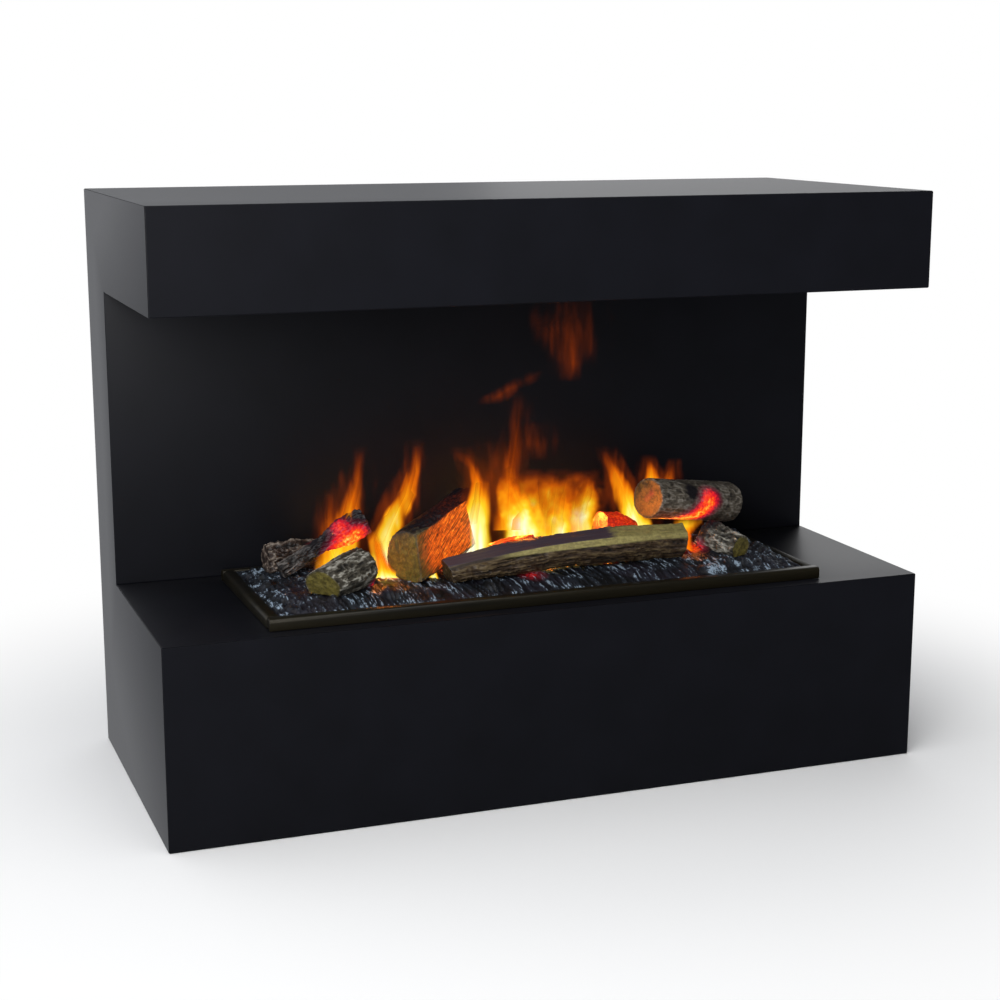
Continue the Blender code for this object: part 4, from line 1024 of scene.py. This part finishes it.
@dataclass(frozen=True)
class CastLog:
    """One cast log: the CAD's axis, radii and split planes, with bark, fibres and ends modelled on them."""

    node: str
    start: tuple[float, float, float]
    end: tuple[float, float, float]
    radii: tuple[float, ...]
    finish: CastFinish
    planes: tuple[tuple[float, float], ...] = ()
    sag: float = 0.0
    wave: float = 0.05
    seed: float = 1.0
    slot: str = "log_bark"
    sides: int = 130
    rings: int = 140
    relief: float = 1.6 * MM
    scale: tuple[float, float] = (7.0 * MM, 26.0 * MM)
    start_cut: EndCut = EndCut.SAWN
    end_cut: EndCut = EndCut.SAWN
    split: Split = Split.BARE
    start_tilt: tuple[float, float] = (0.0, 0.0)
    end_tilt: tuple[float, float] = (0.0, 0.0)
    glows: tuple[Spot, ...] = ()
    soots: tuple[Spot, ...] = ()
    cap_share: float = 0.09
    charred_plane: int = -1
    charred_until: float = 0.6
    charred_fade: float = 0.08
    glow_on_split: bool = False
    fibre_turn: float = 0.0
    bare_from: float = -1.0
    bare_fade: float = 0.14
    lean_share: float = 0.35
    smooth_degrees: float = 50.0

    def axes(self) -> tuple[Points, Points, Points, float]:
        """The log's own axes: sideways, upwards and forwards, and its length."""
        axis = np.array(self.end) - np.array(self.start)
        length = float(np.linalg.norm(axis))
        forward = axis / length
        right = np.cross(forward, (0.0, 0.0, 1.0))
        right /= np.linalg.norm(right)
        return right, np.cross(right, forward), forward, length

    def section(self, angle: Points, along: Points) -> tuple[Points, Points, Points]:
        """Reach of the log's skin from its axis, and where its split faces are.

        Args:
            angle: direction round the axis.
            along: place along it, from 0 to 1.

        Returns:
            The reach, 1 on a split face, and 1 on the part of one that is charred smooth.
        """
        radius = np.interp(along, np.linspace(0.0, 1.0, len(self.radii)), self.radii)
        waves = (np.sin(3.0 * angle + self.seed) + np.sin(2.0 * angle + 9.0 * along - 2.1 * self.seed)
                 + np.sin(5.0 * angle + 5.0 * along + 1.7 * self.seed)) / 3.0
        reach = radius * (1.0 + self.wave * waves)
        flat = np.zeros_like(reach)
        dark = np.zeros_like(reach)
        for number, (direction, share) in enumerate(self.planes):
            facing = np.cos(angle - math.radians(direction))
            limit = np.where(facing > GRAZING, share * radius / np.maximum(facing, GRAZING), NO_LIMIT)
            on_plane = ease(reach - limit, -0.2 * MM, 0.6 * MM)
            flat = np.maximum(flat, on_plane)
            dark *= 1.0 - on_plane
            if number == self.charred_plane:
                dark = on_plane * (1.0 - ease(along, self.charred_until - self.charred_fade,
                                              self.charred_until + self.charred_fade))
            reach = np.minimum(reach, limit)
        return reach, flat, dark

    def build(self) -> None:
        """Model the log and give it its finish."""
        clear_selection()
        bpy.ops.mesh.primitive_uv_sphere_add(segments=self.sides, ring_count=self.rings, radius=1.0)
        piece = bpy.context.object
        piece.name = self.node + "_cast"
        ball = read_points(piece)
        angle = np.arctan2(ball[:, 1], ball[:, 0])
        rise = 1.0 - np.arccos(np.clip(ball[:, 2], -1.0, 1.0)) / np.pi
        from_end = np.minimum(rise, 1.0 - rise)
        inner = np.clip(from_end / self.cap_share, 0.0, 1.0) ** 0.8
        along = np.clip((rise - self.cap_share) / (1.0 - 2.0 * self.cap_share), 0.0, 1.0)
        right, up, forward, length = self.axes()
        reach, flat, dark = self.section(angle, along)
        own = np.stack((reach * inner * np.cos(angle), reach * inner * np.sin(angle), along * length), 1)
        on_cap = 1.0 - ease(from_end, 0.93 * self.cap_share, self.cap_share)
        cut = np.where(rise < 0.5, self.start_cut.value, self.end_cut.value) * on_cap
        cut *= 1.0 - ease(inner, 0.86, 0.97)
        across, lengthwise = self.scale
        seed = int(self.seed * 10)
        swell = fractal(own / SWELL_SIZE, 2, seed + 3)
        plates = ridged(own / np.array((across, across, lengthwise)), 2, seed)
        scales = ridged(own / SCALE_SIZE, 2, seed + 7)
        bark = 0.55 * plates + 0.45 * scales
        fibres = fractal(own / FIBRE_SIZE, 2, seed + 5)
        clods = fractal(own / CLOD_SIZE, 3, seed + 9)
        skin = (1.0 - flat) * self.relief * (1.4 * bark - 0.9 + 0.8 * swell) + flat * FIBRE_HEIGHT * fibres
        grown = (reach + skin * (1.0 - on_cap)) * inner
        push = self.tilt(rise, own) + on_cap * CLOD_HEIGHT * clods
        centre = np.array(self.start) + np.outer(along * length, forward)
        centre += np.outer(self.sag * np.sin(np.pi * along), up)
        points = (centre + np.outer(grown * np.cos(angle), right) + np.outer(grown * np.sin(angle), up)
                  + np.outer(push, forward))
        points[:, 2] = np.maximum(points[:, 2], bed_top(points[:, 0], points[:, 1]) + BED_CLEARANCE)
        split = flat * (1.0 - on_cap) * ease(along, self.bare_from, self.bare_from + self.bare_fade)
        # The crest mask places the painted highlight on the bark.
        masks = {"crest_highlight": np.clip(0.10 + 0.95 * bark, 0.0, 1.0),
                 "wood": np.maximum(split * self.split.value, cut),
                 "glow": patches(self.glows, points), "soot": patches(self.soots, points)}
        if self.glow_on_split:
            masks["glow"] *= (0.25 + 0.75 * split) * (0.80 + 0.20 * ease(along, 0.10, 0.16))
            masks["soot"] *= 1.0 - 0.9 * split
        masks["soot"] = np.maximum(masks["soot"], dark * (1.0 - on_cap))
        self.dress(piece, points, own, masks)

    def tilt(self, rise: Points, own: Points) -> Points:
        """How far the ends lean along the axis, fading towards the middle."""
        near_start = 1.0 - ease(rise, self.cap_share, self.lean_share)
        near_end = ease(rise, 1.0 - self.lean_share, 1.0 - self.cap_share)
        lean_start = self.start_tilt[0] * own[:, 0] + self.start_tilt[1] * own[:, 1]
        lean_end = self.end_tilt[0] * own[:, 0] + self.end_tilt[1] * own[:, 1]
        return near_start * lean_start + near_end * lean_end

    def dress(self, piece: bpy.types.Object, points: Points, own: Points, masks: dict[str, Points]) -> None:
        """Put the shape and its painted masks on the mesh.

        Args:
            piece: the log's mesh object.
            points: its vertices in the fire's frame.
            own: the same in the log's own frame.
            masks: shares of the crests' painted highlight, bare wood, glow and soot, by name.
        """
        turn = math.radians(self.fibre_turn)
        run = own.copy()
        run[:, 1] = own[:, 1] * math.cos(turn) - own[:, 2] * math.sin(turn)
        run[:, 2] = own[:, 1] * math.sin(turn) + own[:, 2] * math.cos(turn)
        paint(piece, "grain", run + self.seed)
        for name, mask in masks.items():
            paint(piece, name, mask)
        write_points(piece, points + FIRE_ORIGIN)
        outwards(piece)
        smooth(piece, self.smooth_degrees)
        material = bpy.data.materials.get(self.finish.name) or self.finish.make()
        settle(piece, material, BED_BODY, self.node)


# Cast polyurethane resin, painted by hand: each log has its own bark and split-wood colours.
ORANGE_GLOW = ((0.10, "#000000"), (0.28, "#5a1c06"), (0.50, "#c2480a"), (0.72, "#ff6e12"), (0.90, "#ff9a2a"),
               (1.00, "#ffc860"))
EMBER_GLOW = ((0.08, "#000000"), (0.28, "#4a0804"), (0.50, "#b81c08"), (0.70, "#ff4a14"), (0.88, "#ff8a2c"),
              (1.00, "#ffc458"))
SPLIT_BEECH = CastFinish("cast_split_log", "#120d09", "#3a2a19", "#645438", "#a89d62", "#756c40", "#433942")
SILVER_BARK = CastFinish("cast_silver_bark", "#15130f", "#4a453b", "#b4b1a6", "#746a30", "#3c3415")
UPRIGHT = CastFinish("cast_glowing_split", "#120e12", "#3d3528", "#7d7458", "#7c6a28", "#4a3b14",
                     fibre_glow=0.75, glow_stops=ORANGE_GLOW)
KNOBBLY = CastFinish("cast_knobbly_bark", "#0f0b0a", "#3a2a22", "#9a8d80", "#5d4a3a", "#2d211b")
BRANCH = CastFinish("cast_charred_branch", "#0a080a", "#2a2420", "#7c7672", "#3a3230", "#171214")
ROUND = CastFinish("cast_round_log", "#25201b", "#5e564a", "#969086", "#8c642c", "#2e2010")
EMBER = CastFinish("glowing_resin_ember", "#120608", "#2a1010", "#5a2820", "#7a2a12", "#3a1008",
                   fibre_glow=0.35, glow_stops=EMBER_GLOW)


@dataclass(frozen=True)
class LogSet:
    """The seven logs and three glowing pieces on the bed."""

    logs: tuple[CastLog, ...] = (
        CastLog("log_long_front", (-0.123, -0.063, 0.035), (0.212, -0.041, 0.044),
                (0.0165, 0.021, 0.023, 0.022), SPLIT_BEECH, ((70.0, 0.80), (42.0, 0.91)), 0.008, seed=2.0,
                rings=240, sides=120, relief=2.4 * MM, scale=(4.6 * MM, 40.0 * MM),
                start_tilt=(0.0, -0.25), end_tilt=(-0.15, 0.20), start_cut=EndCut.BURNT,
                end_cut=EndCut.BURNT, charred_plane=0, charred_until=0.66, bare_from=0.16),
        CastLog("log_front_left", (-0.287, -0.080, 0.0345), (-0.228, -0.0415, 0.0435),
                (0.0235, 0.0265, 0.028), SILVER_BARK, ((-30.0, 0.85),), seed=4.0, relief=1.8 * MM,
                split=Split.CHARRED, end_cut=EndCut.BURNT, start_tilt=(0.28, -0.29),
                glows=(Spot(-0.208, -0.050, 0.020, 0.016, 0.9), Spot(-0.204, -0.036, 0.044, 0.014, 0.75)),
                soots=(Spot(-0.212, -0.030, 0.070, 0.022, 0.4),)),
        CastLog("log_upright", (-0.170, -0.045, 0.052), (-0.068, 0.012, 0.087), (0.0346, 0.0362, 0.0365),
                UPRIGHT, ((10.0, 0.62), (-110.0, 0.85)), wave=0.04, seed=6.0, rings=150, sides=140,
                end_cut=EndCut.BURNT, glow_on_split=True, fibre_turn=24.0, start_tilt=(0.0, 0.31),
                end_tilt=(0.0, 0.30),
                glows=(Spot(-0.110, -0.034, 0.070, 0.055, 0.95), Spot(-0.080, -0.014, 0.095, 0.040, 0.80),
                       Spot(-0.140, -0.045, 0.055, 0.030, 0.35), Spot(-0.105, 0.004, 0.115, 0.020, 0.55)),
                soots=(Spot(-0.090, 0.014, 0.124, 0.040, 0.95), Spot(-0.125, -0.002, 0.110, 0.034, 0.85),
                       Spot(-0.155, -0.020, 0.095, 0.030, 0.6))),
        CastLog("log_back_left", (-0.323, 0.066, 0.038), (-0.256, 0.071, 0.041), (0.019, 0.021, 0.017),
                KNOBBLY, wave=0.09, seed=3.0, relief=3.4 * MM, scale=(9.0 * MM, 14.0 * MM),
                start_cut=EndCut.BURNT, end_cut=EndCut.BURNT,
                glows=(Spot(-0.262, 0.055, 0.050, 0.014, 0.35),)),
        CastLog("log_burning_branch", (-0.315, 0.022, 0.034), (-0.204, 0.028, 0.090),
                (0.010, 0.009, 0.010, 0.018, 0.017), BRANCH, wave=0.12, seed=5.0, slot="charred_bark",
                relief=2.6 * MM, scale=(6.0 * MM, 18.0 * MM), start_cut=EndCut.BURNT, end_cut=EndCut.BURNT,
                glows=(Spot(-0.228, 0.012, 0.062, 0.018, 0.85), Spot(-0.248, 0.010, 0.050, 0.016, 0.75),
                       Spot(-0.238, 0.020, 0.084, 0.014, 0.70), Spot(-0.212, 0.010, 0.074, 0.015, 0.80)),
                soots=(Spot(-0.215, 0.030, 0.095, 0.030, 0.8), Spot(-0.260, 0.030, 0.065, 0.030, 0.6))),
        CastLog("log_round", (0.178, -0.006, 0.0965), (0.327, 0.054, 0.068), (0.0265, 0.027, 0.0275),
                ROUND, wave=0.02, seed=1.0, rings=150, relief=1.0 * MM, scale=(4.0 * MM, 9.0 * MM),
                glows=(Spot(0.282, -0.004, 0.092, 0.020, 0.66), Spot(0.280, -0.006, 0.080, 0.020, 0.70),
                       Spot(0.262, -0.004, 0.062, 0.016, 0.9), Spot(0.236, 0.008, 0.055, 0.022, 1.0),
                       Spot(0.178, -0.012, 0.104, 0.007, 0.50), Spot(0.180, -0.003, 0.094, 0.006, 0.42)),
                soots=(Spot(0.244, -0.002, 0.100, 0.012, 0.8), Spot(0.286, 0.010, 0.085, 0.012, 0.7))),
        CastLog("log_short_right", (0.282, -0.074, 0.0345), (0.262, -0.020, 0.042), (0.0165, 0.019, 0.0225),
                SILVER_BARK, seed=7.0, rings=110, sides=110, relief=2.0 * MM, scale=(7.0 * MM, 14.0 * MM),
                end_cut=EndCut.BURNT, soots=(Spot(0.252, -0.016, 0.062, 0.024, 0.9),),
                glows=(Spot(0.240, -0.030, 0.030, 0.014, 0.55),)),
        CastLog("ember_stick", (-0.046, -0.013, 0.041), (0.014, -0.011, 0.053), (0.012, 0.013, 0.008),
                EMBER, wave=0.10, seed=8.0, slot="glowing_ember", start_cut=EndCut.BURNT,
                end_cut=EndCut.BURNT, rings=70, sides=56,
                glows=(Spot(-0.020, -0.018, 0.045, 0.060, 0.85),),
                soots=(Spot(0.012, -0.012, 0.064, 0.014, 0.8),)),
        CastLog("ember_block", (0.112, 0.004, 0.060), (0.166, 0.012, 0.048), (0.021, 0.022, 0.014),
                EMBER, wave=0.08, seed=9.0, slot="glowing_ember", start_cut=EndCut.BURNT,
                end_cut=EndCut.BURNT, rings=70, sides=64,
                glows=(Spot(0.135, -0.006, 0.058, 0.060, 0.80),),
                soots=(Spot(0.125, 0.006, 0.084, 0.014, 0.6),)),
        CastLog("ember_lump", (0.222, -0.002, 0.036), (0.240, 0.010, 0.040), (0.010, 0.013, 0.011),
                EMBER, wave=0.10, seed=10.0, slot="glowing_ember", start_cut=EndCut.BURNT,
                end_cut=EndCut.BURNT, rings=56, sides=56, relief=3.0 * MM, scale=(6.0 * MM, 6.0 * MM),
                glows=(Spot(0.230, 0.000, 0.040, 0.060, 0.90),)),
    )

    def build(self) -> None:
        """Build every log."""
        for log in self.logs:
            log.build()


# ---------------------------------------------------------------- flames


# Sizes of the drift that bends a tongue's sides, and of the broad blotches in the thick of the fire.
DRIFT_SIZE = np.array((0.020, 0.020, 0.045))
BROAD_BLOTCHES = (0.016, 0.020, 0.018)


@dataclass(frozen=True)
class Haze:
    """The thin mist round a tongue that the lamps hardly light, next to the tongue's own sizes."""

    spread: float = 1.45
    margin: float = 5.0 * MM
    heat: float = 0.35
    hottest: float = 0.16
    body: float = 0.34
    raised: float = 8.0 * MM
    behind: float = 3.0 * MM
    places: tuple[float, ...] = (0.0, 0.25, 0.5, 0.85, 1.0)
    shares: tuple[float, ...] = (0.0, 0.3, 1.0, 0.9, 0.0)


@dataclass(frozen=True)
class Tongue:
    """One tongue of lit mist.

    line holds (x, y, z, half width, heat, body) from its foot to its tip, in the fire's frame.
    """

    name: str
    line: tuple[tuple[float, float, float, float, float, float], ...]
    seed: int
    ragged: float = 0.5
    soft: float = 1.0
    streak: tuple[float, float, float] = (0.007, 0.020, 0.050)
    blotch: float = 0.16
    hazy: bool = True
    mist: Haze = Haze()
    crossings: tuple[float, ...] = (0.0, 65.0, -60.0)
    columns: int = 40
    rows: int = 90
    facing: float = -18.0
    overhang: float = 1.25
    bulge: float = 3.0 * MM
    bulge_turn: float = 1.6
    crossing_width: float = 0.55
    crossing_body: float = 0.30
    edge_fade: float = 0.30
    smooth_degrees: float = 60.0

    def sheet(self, turn: float, number: int, haze: bool = False) -> bpy.types.Object:
        """Model one upright sheet of the tongue.

        Args:
            turn: its direction in degrees, 0 facing the front left of the room.
            number: its number within the tongue.
            haze: whether it is the thin unlit mist round the tongue.

        Returns:
            The sheet.
        """
        clear_selection()
        bpy.ops.mesh.primitive_grid_add(x_subdivisions=self.columns, y_subdivisions=self.rows, size=1.0)
        piece = bpy.context.object
        piece.name = f"{self.name}_{number}"
        flat = read_points(piece)
        side, rise = 2.0 * flat[:, 0], flat[:, 1] + 0.5
        keys = np.array(self.line)
        steps = np.linspace(0.0, 1.0, len(keys))
        x, y, z, half, heat, body = (np.interp(rise, steps, keys[:, column]) for column in range(6))
        slim, thin = (1.0, 1.0) if number == 0 or haze else (self.crossing_width, self.crossing_body)
        if haze:
            heat = np.minimum(self.mist.hottest, self.mist.heat * heat)
            half = self.mist.spread * half + self.mist.margin
            body = self.mist.body * np.interp(rise, self.mist.places, self.mist.shares)
            z = z + self.mist.raised * rise
            y = y + self.mist.behind
        way = math.radians(self.facing + turn)
        shift = side * half * self.overhang * slim
        points = np.stack((x + shift * math.cos(way), y + shift * math.sin(way), z), 1)
        if number == 0:
            points[:, 1] += self.bulge * np.cos(side * self.bulge_turn)
        self.colour(piece, points, side * self.overhang, rise, heat, body * thin)
        write_points(piece, points + FIRE_ORIGIN)
        smooth(piece, self.smooth_degrees)
        return piece

    def colour(self, piece: bpy.types.Object, points: Points, side: Points, rise: Points, heat: Points,
               body: Points) -> None:
        """Work out how hot and how dense the mist is over a sheet.

        Args:
            piece: the sheet.
            points: its vertices.
            side: place across the tongue, 1 at its edge.
            rise: place up it, from 0 to 1.
            heat: the tongue's own heat there.
            body: its own density there.
        """
        drift = fractal(points / DRIFT_SIZE, 3, self.seed)
        streaks = fractal(points / np.array(self.streak), 3, self.seed + 40)
        moved = side + self.ragged * drift * (0.25 + rise)
        core = np.clip(1.0 - np.abs(moved) ** 1.7, 0.0, 1.0)
        dense = ease(core + 0.35 * streaks * (0.3 + rise), 0.02, (0.55 + 0.45 * rise) * self.soft)
        edge = ease(self.overhang - np.abs(side), 0.0, self.edge_fade)
        paint(piece, "warmth", np.clip(heat * (0.55 + 0.50 * core) + self.blotch * streaks, 0.0, 1.0))
        paint(piece, "body", np.clip(dense * body * edge, 0.0, 1.0))

    def build(self, material: bpy.types.Material) -> None:
        """Model the tongue from crossed sheets joined into one piece."""
        sheets = [self.sheet(turn, number) for number, turn in enumerate(self.crossings)]
        if self.hazy:
            sheets.append(self.sheet(0.0, len(sheets), haze=True))
        only(sheets[0])
        for sheet in sheets[1:]:
            sheet.select_set(True)
        bpy.ops.object.join()
        piece = bpy.context.object
        piece.name = self.name
        piece.visible_shadow = False
        piece.visible_diffuse = False
        settle(piece, material, BED_BODY)
        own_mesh(piece)


@dataclass(frozen=True)
class Fire:
    """The flames, and the warm lamps that light the logs from within.

    lamps holds (x, y, z, watts), in the fire's frame.
    """

    tongues: tuple[Tongue, ...] = (
        Tongue("flame_far_left", (
            (-0.242, 0.025, 0.020, 0.030, 0.80, 0.95), (-0.238, 0.025, 0.050, 0.026, 0.70, 0.95),
            (-0.230, 0.025, 0.078, 0.021, 0.60, 0.9), (-0.221, 0.025, 0.110, 0.016, 0.46, 0.75),
            (-0.212, 0.025, 0.142, 0.013, 0.30, 0.45), (-0.206, 0.025, 0.178, 0.010, 0.10, 0.0)), 1,
            ragged=0.7, soft=1.3),
        Tongue("flame_left_branch", (
            (-0.240, 0.032, 0.030, 0.014, 0.62, 0.6), (-0.248, 0.032, 0.060, 0.014, 0.50, 0.5),
            (-0.250, 0.032, 0.090, 0.010, 0.34, 0.3), (-0.246, 0.032, 0.125, 0.006, 0.12, 0.0)), 2, soft=1.5),
        Tongue("flame_left", (
            (-0.181, -0.006, 0.008, 0.024, 1.00, 1.0), (-0.182, 0.004, 0.034, 0.023, 0.94, 1.0),
            (-0.180, 0.014, 0.062, 0.021, 0.82, 1.0), (-0.164, 0.022, 0.090, 0.017, 0.70, 0.95),
            (-0.148, 0.025, 0.118, 0.013, 0.56, 0.85), (-0.139, 0.025, 0.148, 0.010, 0.36, 0.55),
            (-0.133, 0.025, 0.182, 0.007, 0.12, 0.0)), 3, ragged=0.6),
        Tongue("flame_middle_left", (
            (-0.068, -0.022, 0.020, 0.032, 1.00, 1.0), (-0.072, -0.022, 0.050, 0.028, 1.00, 1.0),
            (-0.074, -0.022, 0.082, 0.022, 0.92, 1.0), (-0.068, -0.022, 0.112, 0.016, 0.70, 0.95),
            (-0.065, -0.022, 0.136, 0.013, 0.50, 0.75), (-0.073, -0.022, 0.157, 0.011, 0.30, 0.45),
            (-0.088, -0.022, 0.178, 0.009, 0.10, 0.0)), 4, ragged=0.55),
        Tongue("flame_centre_back", (
            (0.050, 0.030, 0.030, 0.066, 0.88, 0.95), (0.050, 0.030, 0.058, 0.066, 0.80, 0.95),
            (0.052, 0.030, 0.080, 0.064, 0.70, 0.9), (0.054, 0.030, 0.100, 0.062, 0.56, 0.8),
            (0.056, 0.030, 0.116, 0.058, 0.40, 0.5), (0.058, 0.030, 0.130, 0.052, 0.18, 0.0)), 5, ragged=0.5,
            soft=1.2, blotch=0.32, streak=BROAD_BLOTCHES),
        Tongue("flame_centre_left", (
            (0.008, 0.020, 0.022, 0.030, 1.00, 1.0), (0.012, 0.020, 0.050, 0.031, 0.98, 1.0),
            (0.012, 0.020, 0.074, 0.030, 0.86, 1.0), (0.004, 0.020, 0.094, 0.026, 0.70, 0.9),
            (-0.004, 0.020, 0.112, 0.020, 0.52, 0.7), (-0.008, 0.020, 0.134, 0.012, 0.20, 0.0)), 13,
            ragged=0.9, blotch=0.30, streak=BROAD_BLOTCHES),
        Tongue("flame_centre_middle", (
            (0.052, 0.016, 0.022, 0.032, 0.98, 1.0), (0.056, 0.016, 0.046, 0.032, 0.88, 1.0),
            (0.060, 0.016, 0.070, 0.030, 0.76, 0.9), (0.062, 0.016, 0.092, 0.025, 0.60, 0.7),
            (0.064, 0.016, 0.110, 0.016, 0.30, 0.0)), 14, ragged=0.9, blotch=0.30,
            streak=BROAD_BLOTCHES),
        Tongue("flame_centre_right", (
            (0.096, 0.022, 0.022, 0.034, 1.00, 1.0), (0.094, 0.022, 0.048, 0.033, 0.96, 1.0),
            (0.092, 0.022, 0.070, 0.030, 0.84, 1.0), (0.096, 0.022, 0.090, 0.025, 0.68, 0.9),
            (0.102, 0.022, 0.108, 0.017, 0.46, 0.6), (0.106, 0.022, 0.126, 0.010, 0.18, 0.0)), 15,
            ragged=0.9, blotch=0.30, streak=BROAD_BLOTCHES),
        Tongue("flame_centre_column", (
            (-0.008, 0.026, 0.060, 0.022, 0.60, 0.8), (-0.006, 0.026, 0.100, 0.018, 0.46, 0.8),
            (-0.004, 0.026, 0.136, 0.015, 0.26, 0.60), (0.001, 0.026, 0.170, 0.013, 0.16, 0.42),
            (0.006, 0.026, 0.202, 0.011, 0.12, 0.28), (0.008, 0.026, 0.236, 0.010, 0.06, 0.0)), 6, soft=1.6),
        Tongue("flame_right", (
            (0.192, 0.030, 0.026, 0.026, 0.96, 1.0), (0.184, 0.030, 0.046, 0.024, 0.90, 1.0),
            (0.170, 0.030, 0.074, 0.020, 0.78, 1.0), (0.160, 0.030, 0.100, 0.015, 0.60, 0.9),
            (0.148, 0.030, 0.126, 0.011, 0.40, 0.6), (0.132, 0.030, 0.156, 0.008, 0.12, 0.0)), 7, ragged=0.6),
        Tongue("flame_behind_round_log", (
            (0.214, 0.050, 0.085, 0.018, 0.66, 0.9), (0.212, 0.050, 0.105, 0.014, 0.60, 0.85),
            (0.209, 0.050, 0.122, 0.009, 0.46, 0.6), (0.206, 0.050, 0.136, 0.005, 0.20, 0.0)), 8, ragged=0.7),
        Tongue("flame_behind_round_log_right", (
            (0.236, 0.050, 0.085, 0.016, 0.46, 0.7), (0.236, 0.050, 0.104, 0.012, 0.36, 0.5),
            (0.238, 0.050, 0.116, 0.008, 0.24, 0.35), (0.241, 0.050, 0.128, 0.005, 0.10, 0.0)), 18, soft=1.5),
        Tongue("flame_under_round_log", (
            (0.222, -0.030, 0.018, 0.016, 0.62, 1.0), (0.223, -0.026, 0.032, 0.016, 0.44, 0.95),
            (0.225, -0.022, 0.046, 0.017, 0.42, 0.9), (0.228, -0.018, 0.056, 0.022, 0.70, 0.9),
            (0.234, -0.014, 0.066, 0.026, 0.60, 0.0)), 9, ragged=0.8, hazy=False),
        Tongue("flame_between_left_logs", (
            (-0.190, -0.030, 0.014, 0.028, 1.00, 1.0), (-0.189, -0.028, 0.026, 0.024, 0.92, 1.0),
            (-0.193, -0.026, 0.038, 0.015, 0.62, 1.0), (-0.197, -0.022, 0.052, 0.011, 0.46, 0.95),
            (-0.201, -0.018, 0.068, 0.011, 0.40, 0.8), (-0.204, -0.014, 0.084, 0.010, 0.30, 0.0)), 19,
            ragged=0.9, hazy=False),
        Tongue("flame_beside_long_log", (
            (-0.134, -0.046, 0.014, 0.010, 0.80, 1.0), (-0.135, -0.046, 0.024, 0.009, 0.90, 1.0),
            (-0.137, -0.044, 0.034, 0.007, 0.66, 0.9), (-0.140, -0.042, 0.048, 0.006, 0.46, 0.0)), 20,
            ragged=0.8, hazy=False),
        Tongue("mist_wisp_low", (
            (-0.036, 0.026, 0.228, 0.017, 0.10, 0.00), (-0.024, 0.026, 0.238, 0.023, 0.15, 0.30),
            (-0.006, 0.026, 0.248, 0.020, 0.12, 0.26), (0.018, 0.026, 0.258, 0.020, 0.10, 0.19),
            (0.040, 0.026, 0.270, 0.017, 0.06, 0.00)), 10, ragged=0.9, soft=2.0, hazy=False),
        Tongue("mist_wisp_high", (
            (0.078, 0.026, 0.252, 0.017, 0.12, 0.00), (0.084, 0.026, 0.276, 0.023, 0.17, 0.36),
            (0.078, 0.026, 0.300, 0.032, 0.13, 0.26), (0.072, 0.026, 0.322, 0.038, 0.11, 0.22),
            (0.080, 0.026, 0.342, 0.029, 0.09, 0.16), (0.094, 0.026, 0.362, 0.020, 0.05, 0.00)), 11,
            ragged=1.1, soft=2.2),
        Tongue("mist_wisp_right", (
            (0.034, 0.026, 0.150, 0.017, 0.10, 0.00), (0.034, 0.026, 0.172, 0.022, 0.14, 0.22),
            (0.033, 0.026, 0.196, 0.017, 0.06, 0.00)), 12, soft=2.0),
        Tongue("mist_haze_left", (
            (-0.060, 0.034, 0.100, 0.030, 0.16, 0.0), (-0.040, 0.034, 0.125, 0.036, 0.16, 0.26),
            (-0.020, 0.034, 0.150, 0.032, 0.12, 0.20), (-0.010, 0.034, 0.178, 0.020, 0.06, 0.0)), 16,
            ragged=1.0, soft=2.4),
    )
    lamps: tuple[tuple[float, float, float, float], ...] = (
        (-0.235, 0.020, 0.065, 0.30), (-0.180, 0.010, 0.050, 0.25), (-0.060, 0.010, 0.075, 0.70),
        (0.020, 0.020, 0.080, 0.60), (0.090, 0.020, 0.080, 0.60), (0.214, 0.020, 0.060, 0.20),
        (0.238, 0.004, 0.066, 0.08))
    lamp_size: float = 0.03
    lamp_colour: str = "#ff8a2c"
    lamp_tilt: float = -65.0

    def build(self) -> None:
        """Model every tongue and hang the lamps."""
        material = FlameFinish().make()
        for tongue in self.tongues:
            tongue.build(material)
        for number, (x, y, z, watts) in enumerate(self.lamps):
            self.add_lamp(f"fire_lamp_{number + 1}", np.array((x, y, z)) + FIRE_ORIGIN, watts)

    def add_lamp(self, name: str, place: Points, watts: float) -> None:
        """Hang one small warm lamp in the flames.

        Args:
            name: the lamp's name.
            place: where it hangs.
            watts: its power.
        """
        lamp = bpy.data.lights.new(name, "AREA")
        lamp.energy = watts
        lamp.size = self.lamp_size
        lamp.color = linear(self.lamp_colour)[:3]
        bulb = bpy.data.objects.new(name, lamp)
        bulb.location = place
        bulb.rotation_euler = (math.radians(self.lamp_tilt), 0.0, 0.0)
        bulb.visible_camera = False
        bpy.context.scene.collection.objects.link(bulb)


# ---------------------------------------------------------------- everything else


@dataclass(frozen=True)
class CassetteWorks:
    """The cassette's inner parts, which keep their CAD shapes and get real finishes."""

    def build(self) -> None:
        """Give every node that is still shown the finish of its slot."""
        for name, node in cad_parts.items():
            if node.hide_render:
                continue
            slot = node.data.materials[0].name.split(".")[0]
            if slot not in CAD_FINISHES:
                continue
            for place in node.material_slots:
                place.material = finish_material(slot)
            LOG.info("%s: CAD shape in %s", name, slot)


def main() -> None:
    """Build the whole scene in order."""
    logging.basicConfig(level=logging.INFO, format="%(message)s")
    bpy.context.scene.view_settings.view_transform = "Standard"
    bpy.context.scene.cycles.transparent_max_bounces = MIST_LAYERS
    Studio().build()
    Carcase().build()
    Trim().build()
    FuelBed().build()
    LogSet().build()
    CassetteWorks().build()
    Fire().build()


if __name__ == "__main__":
    main()
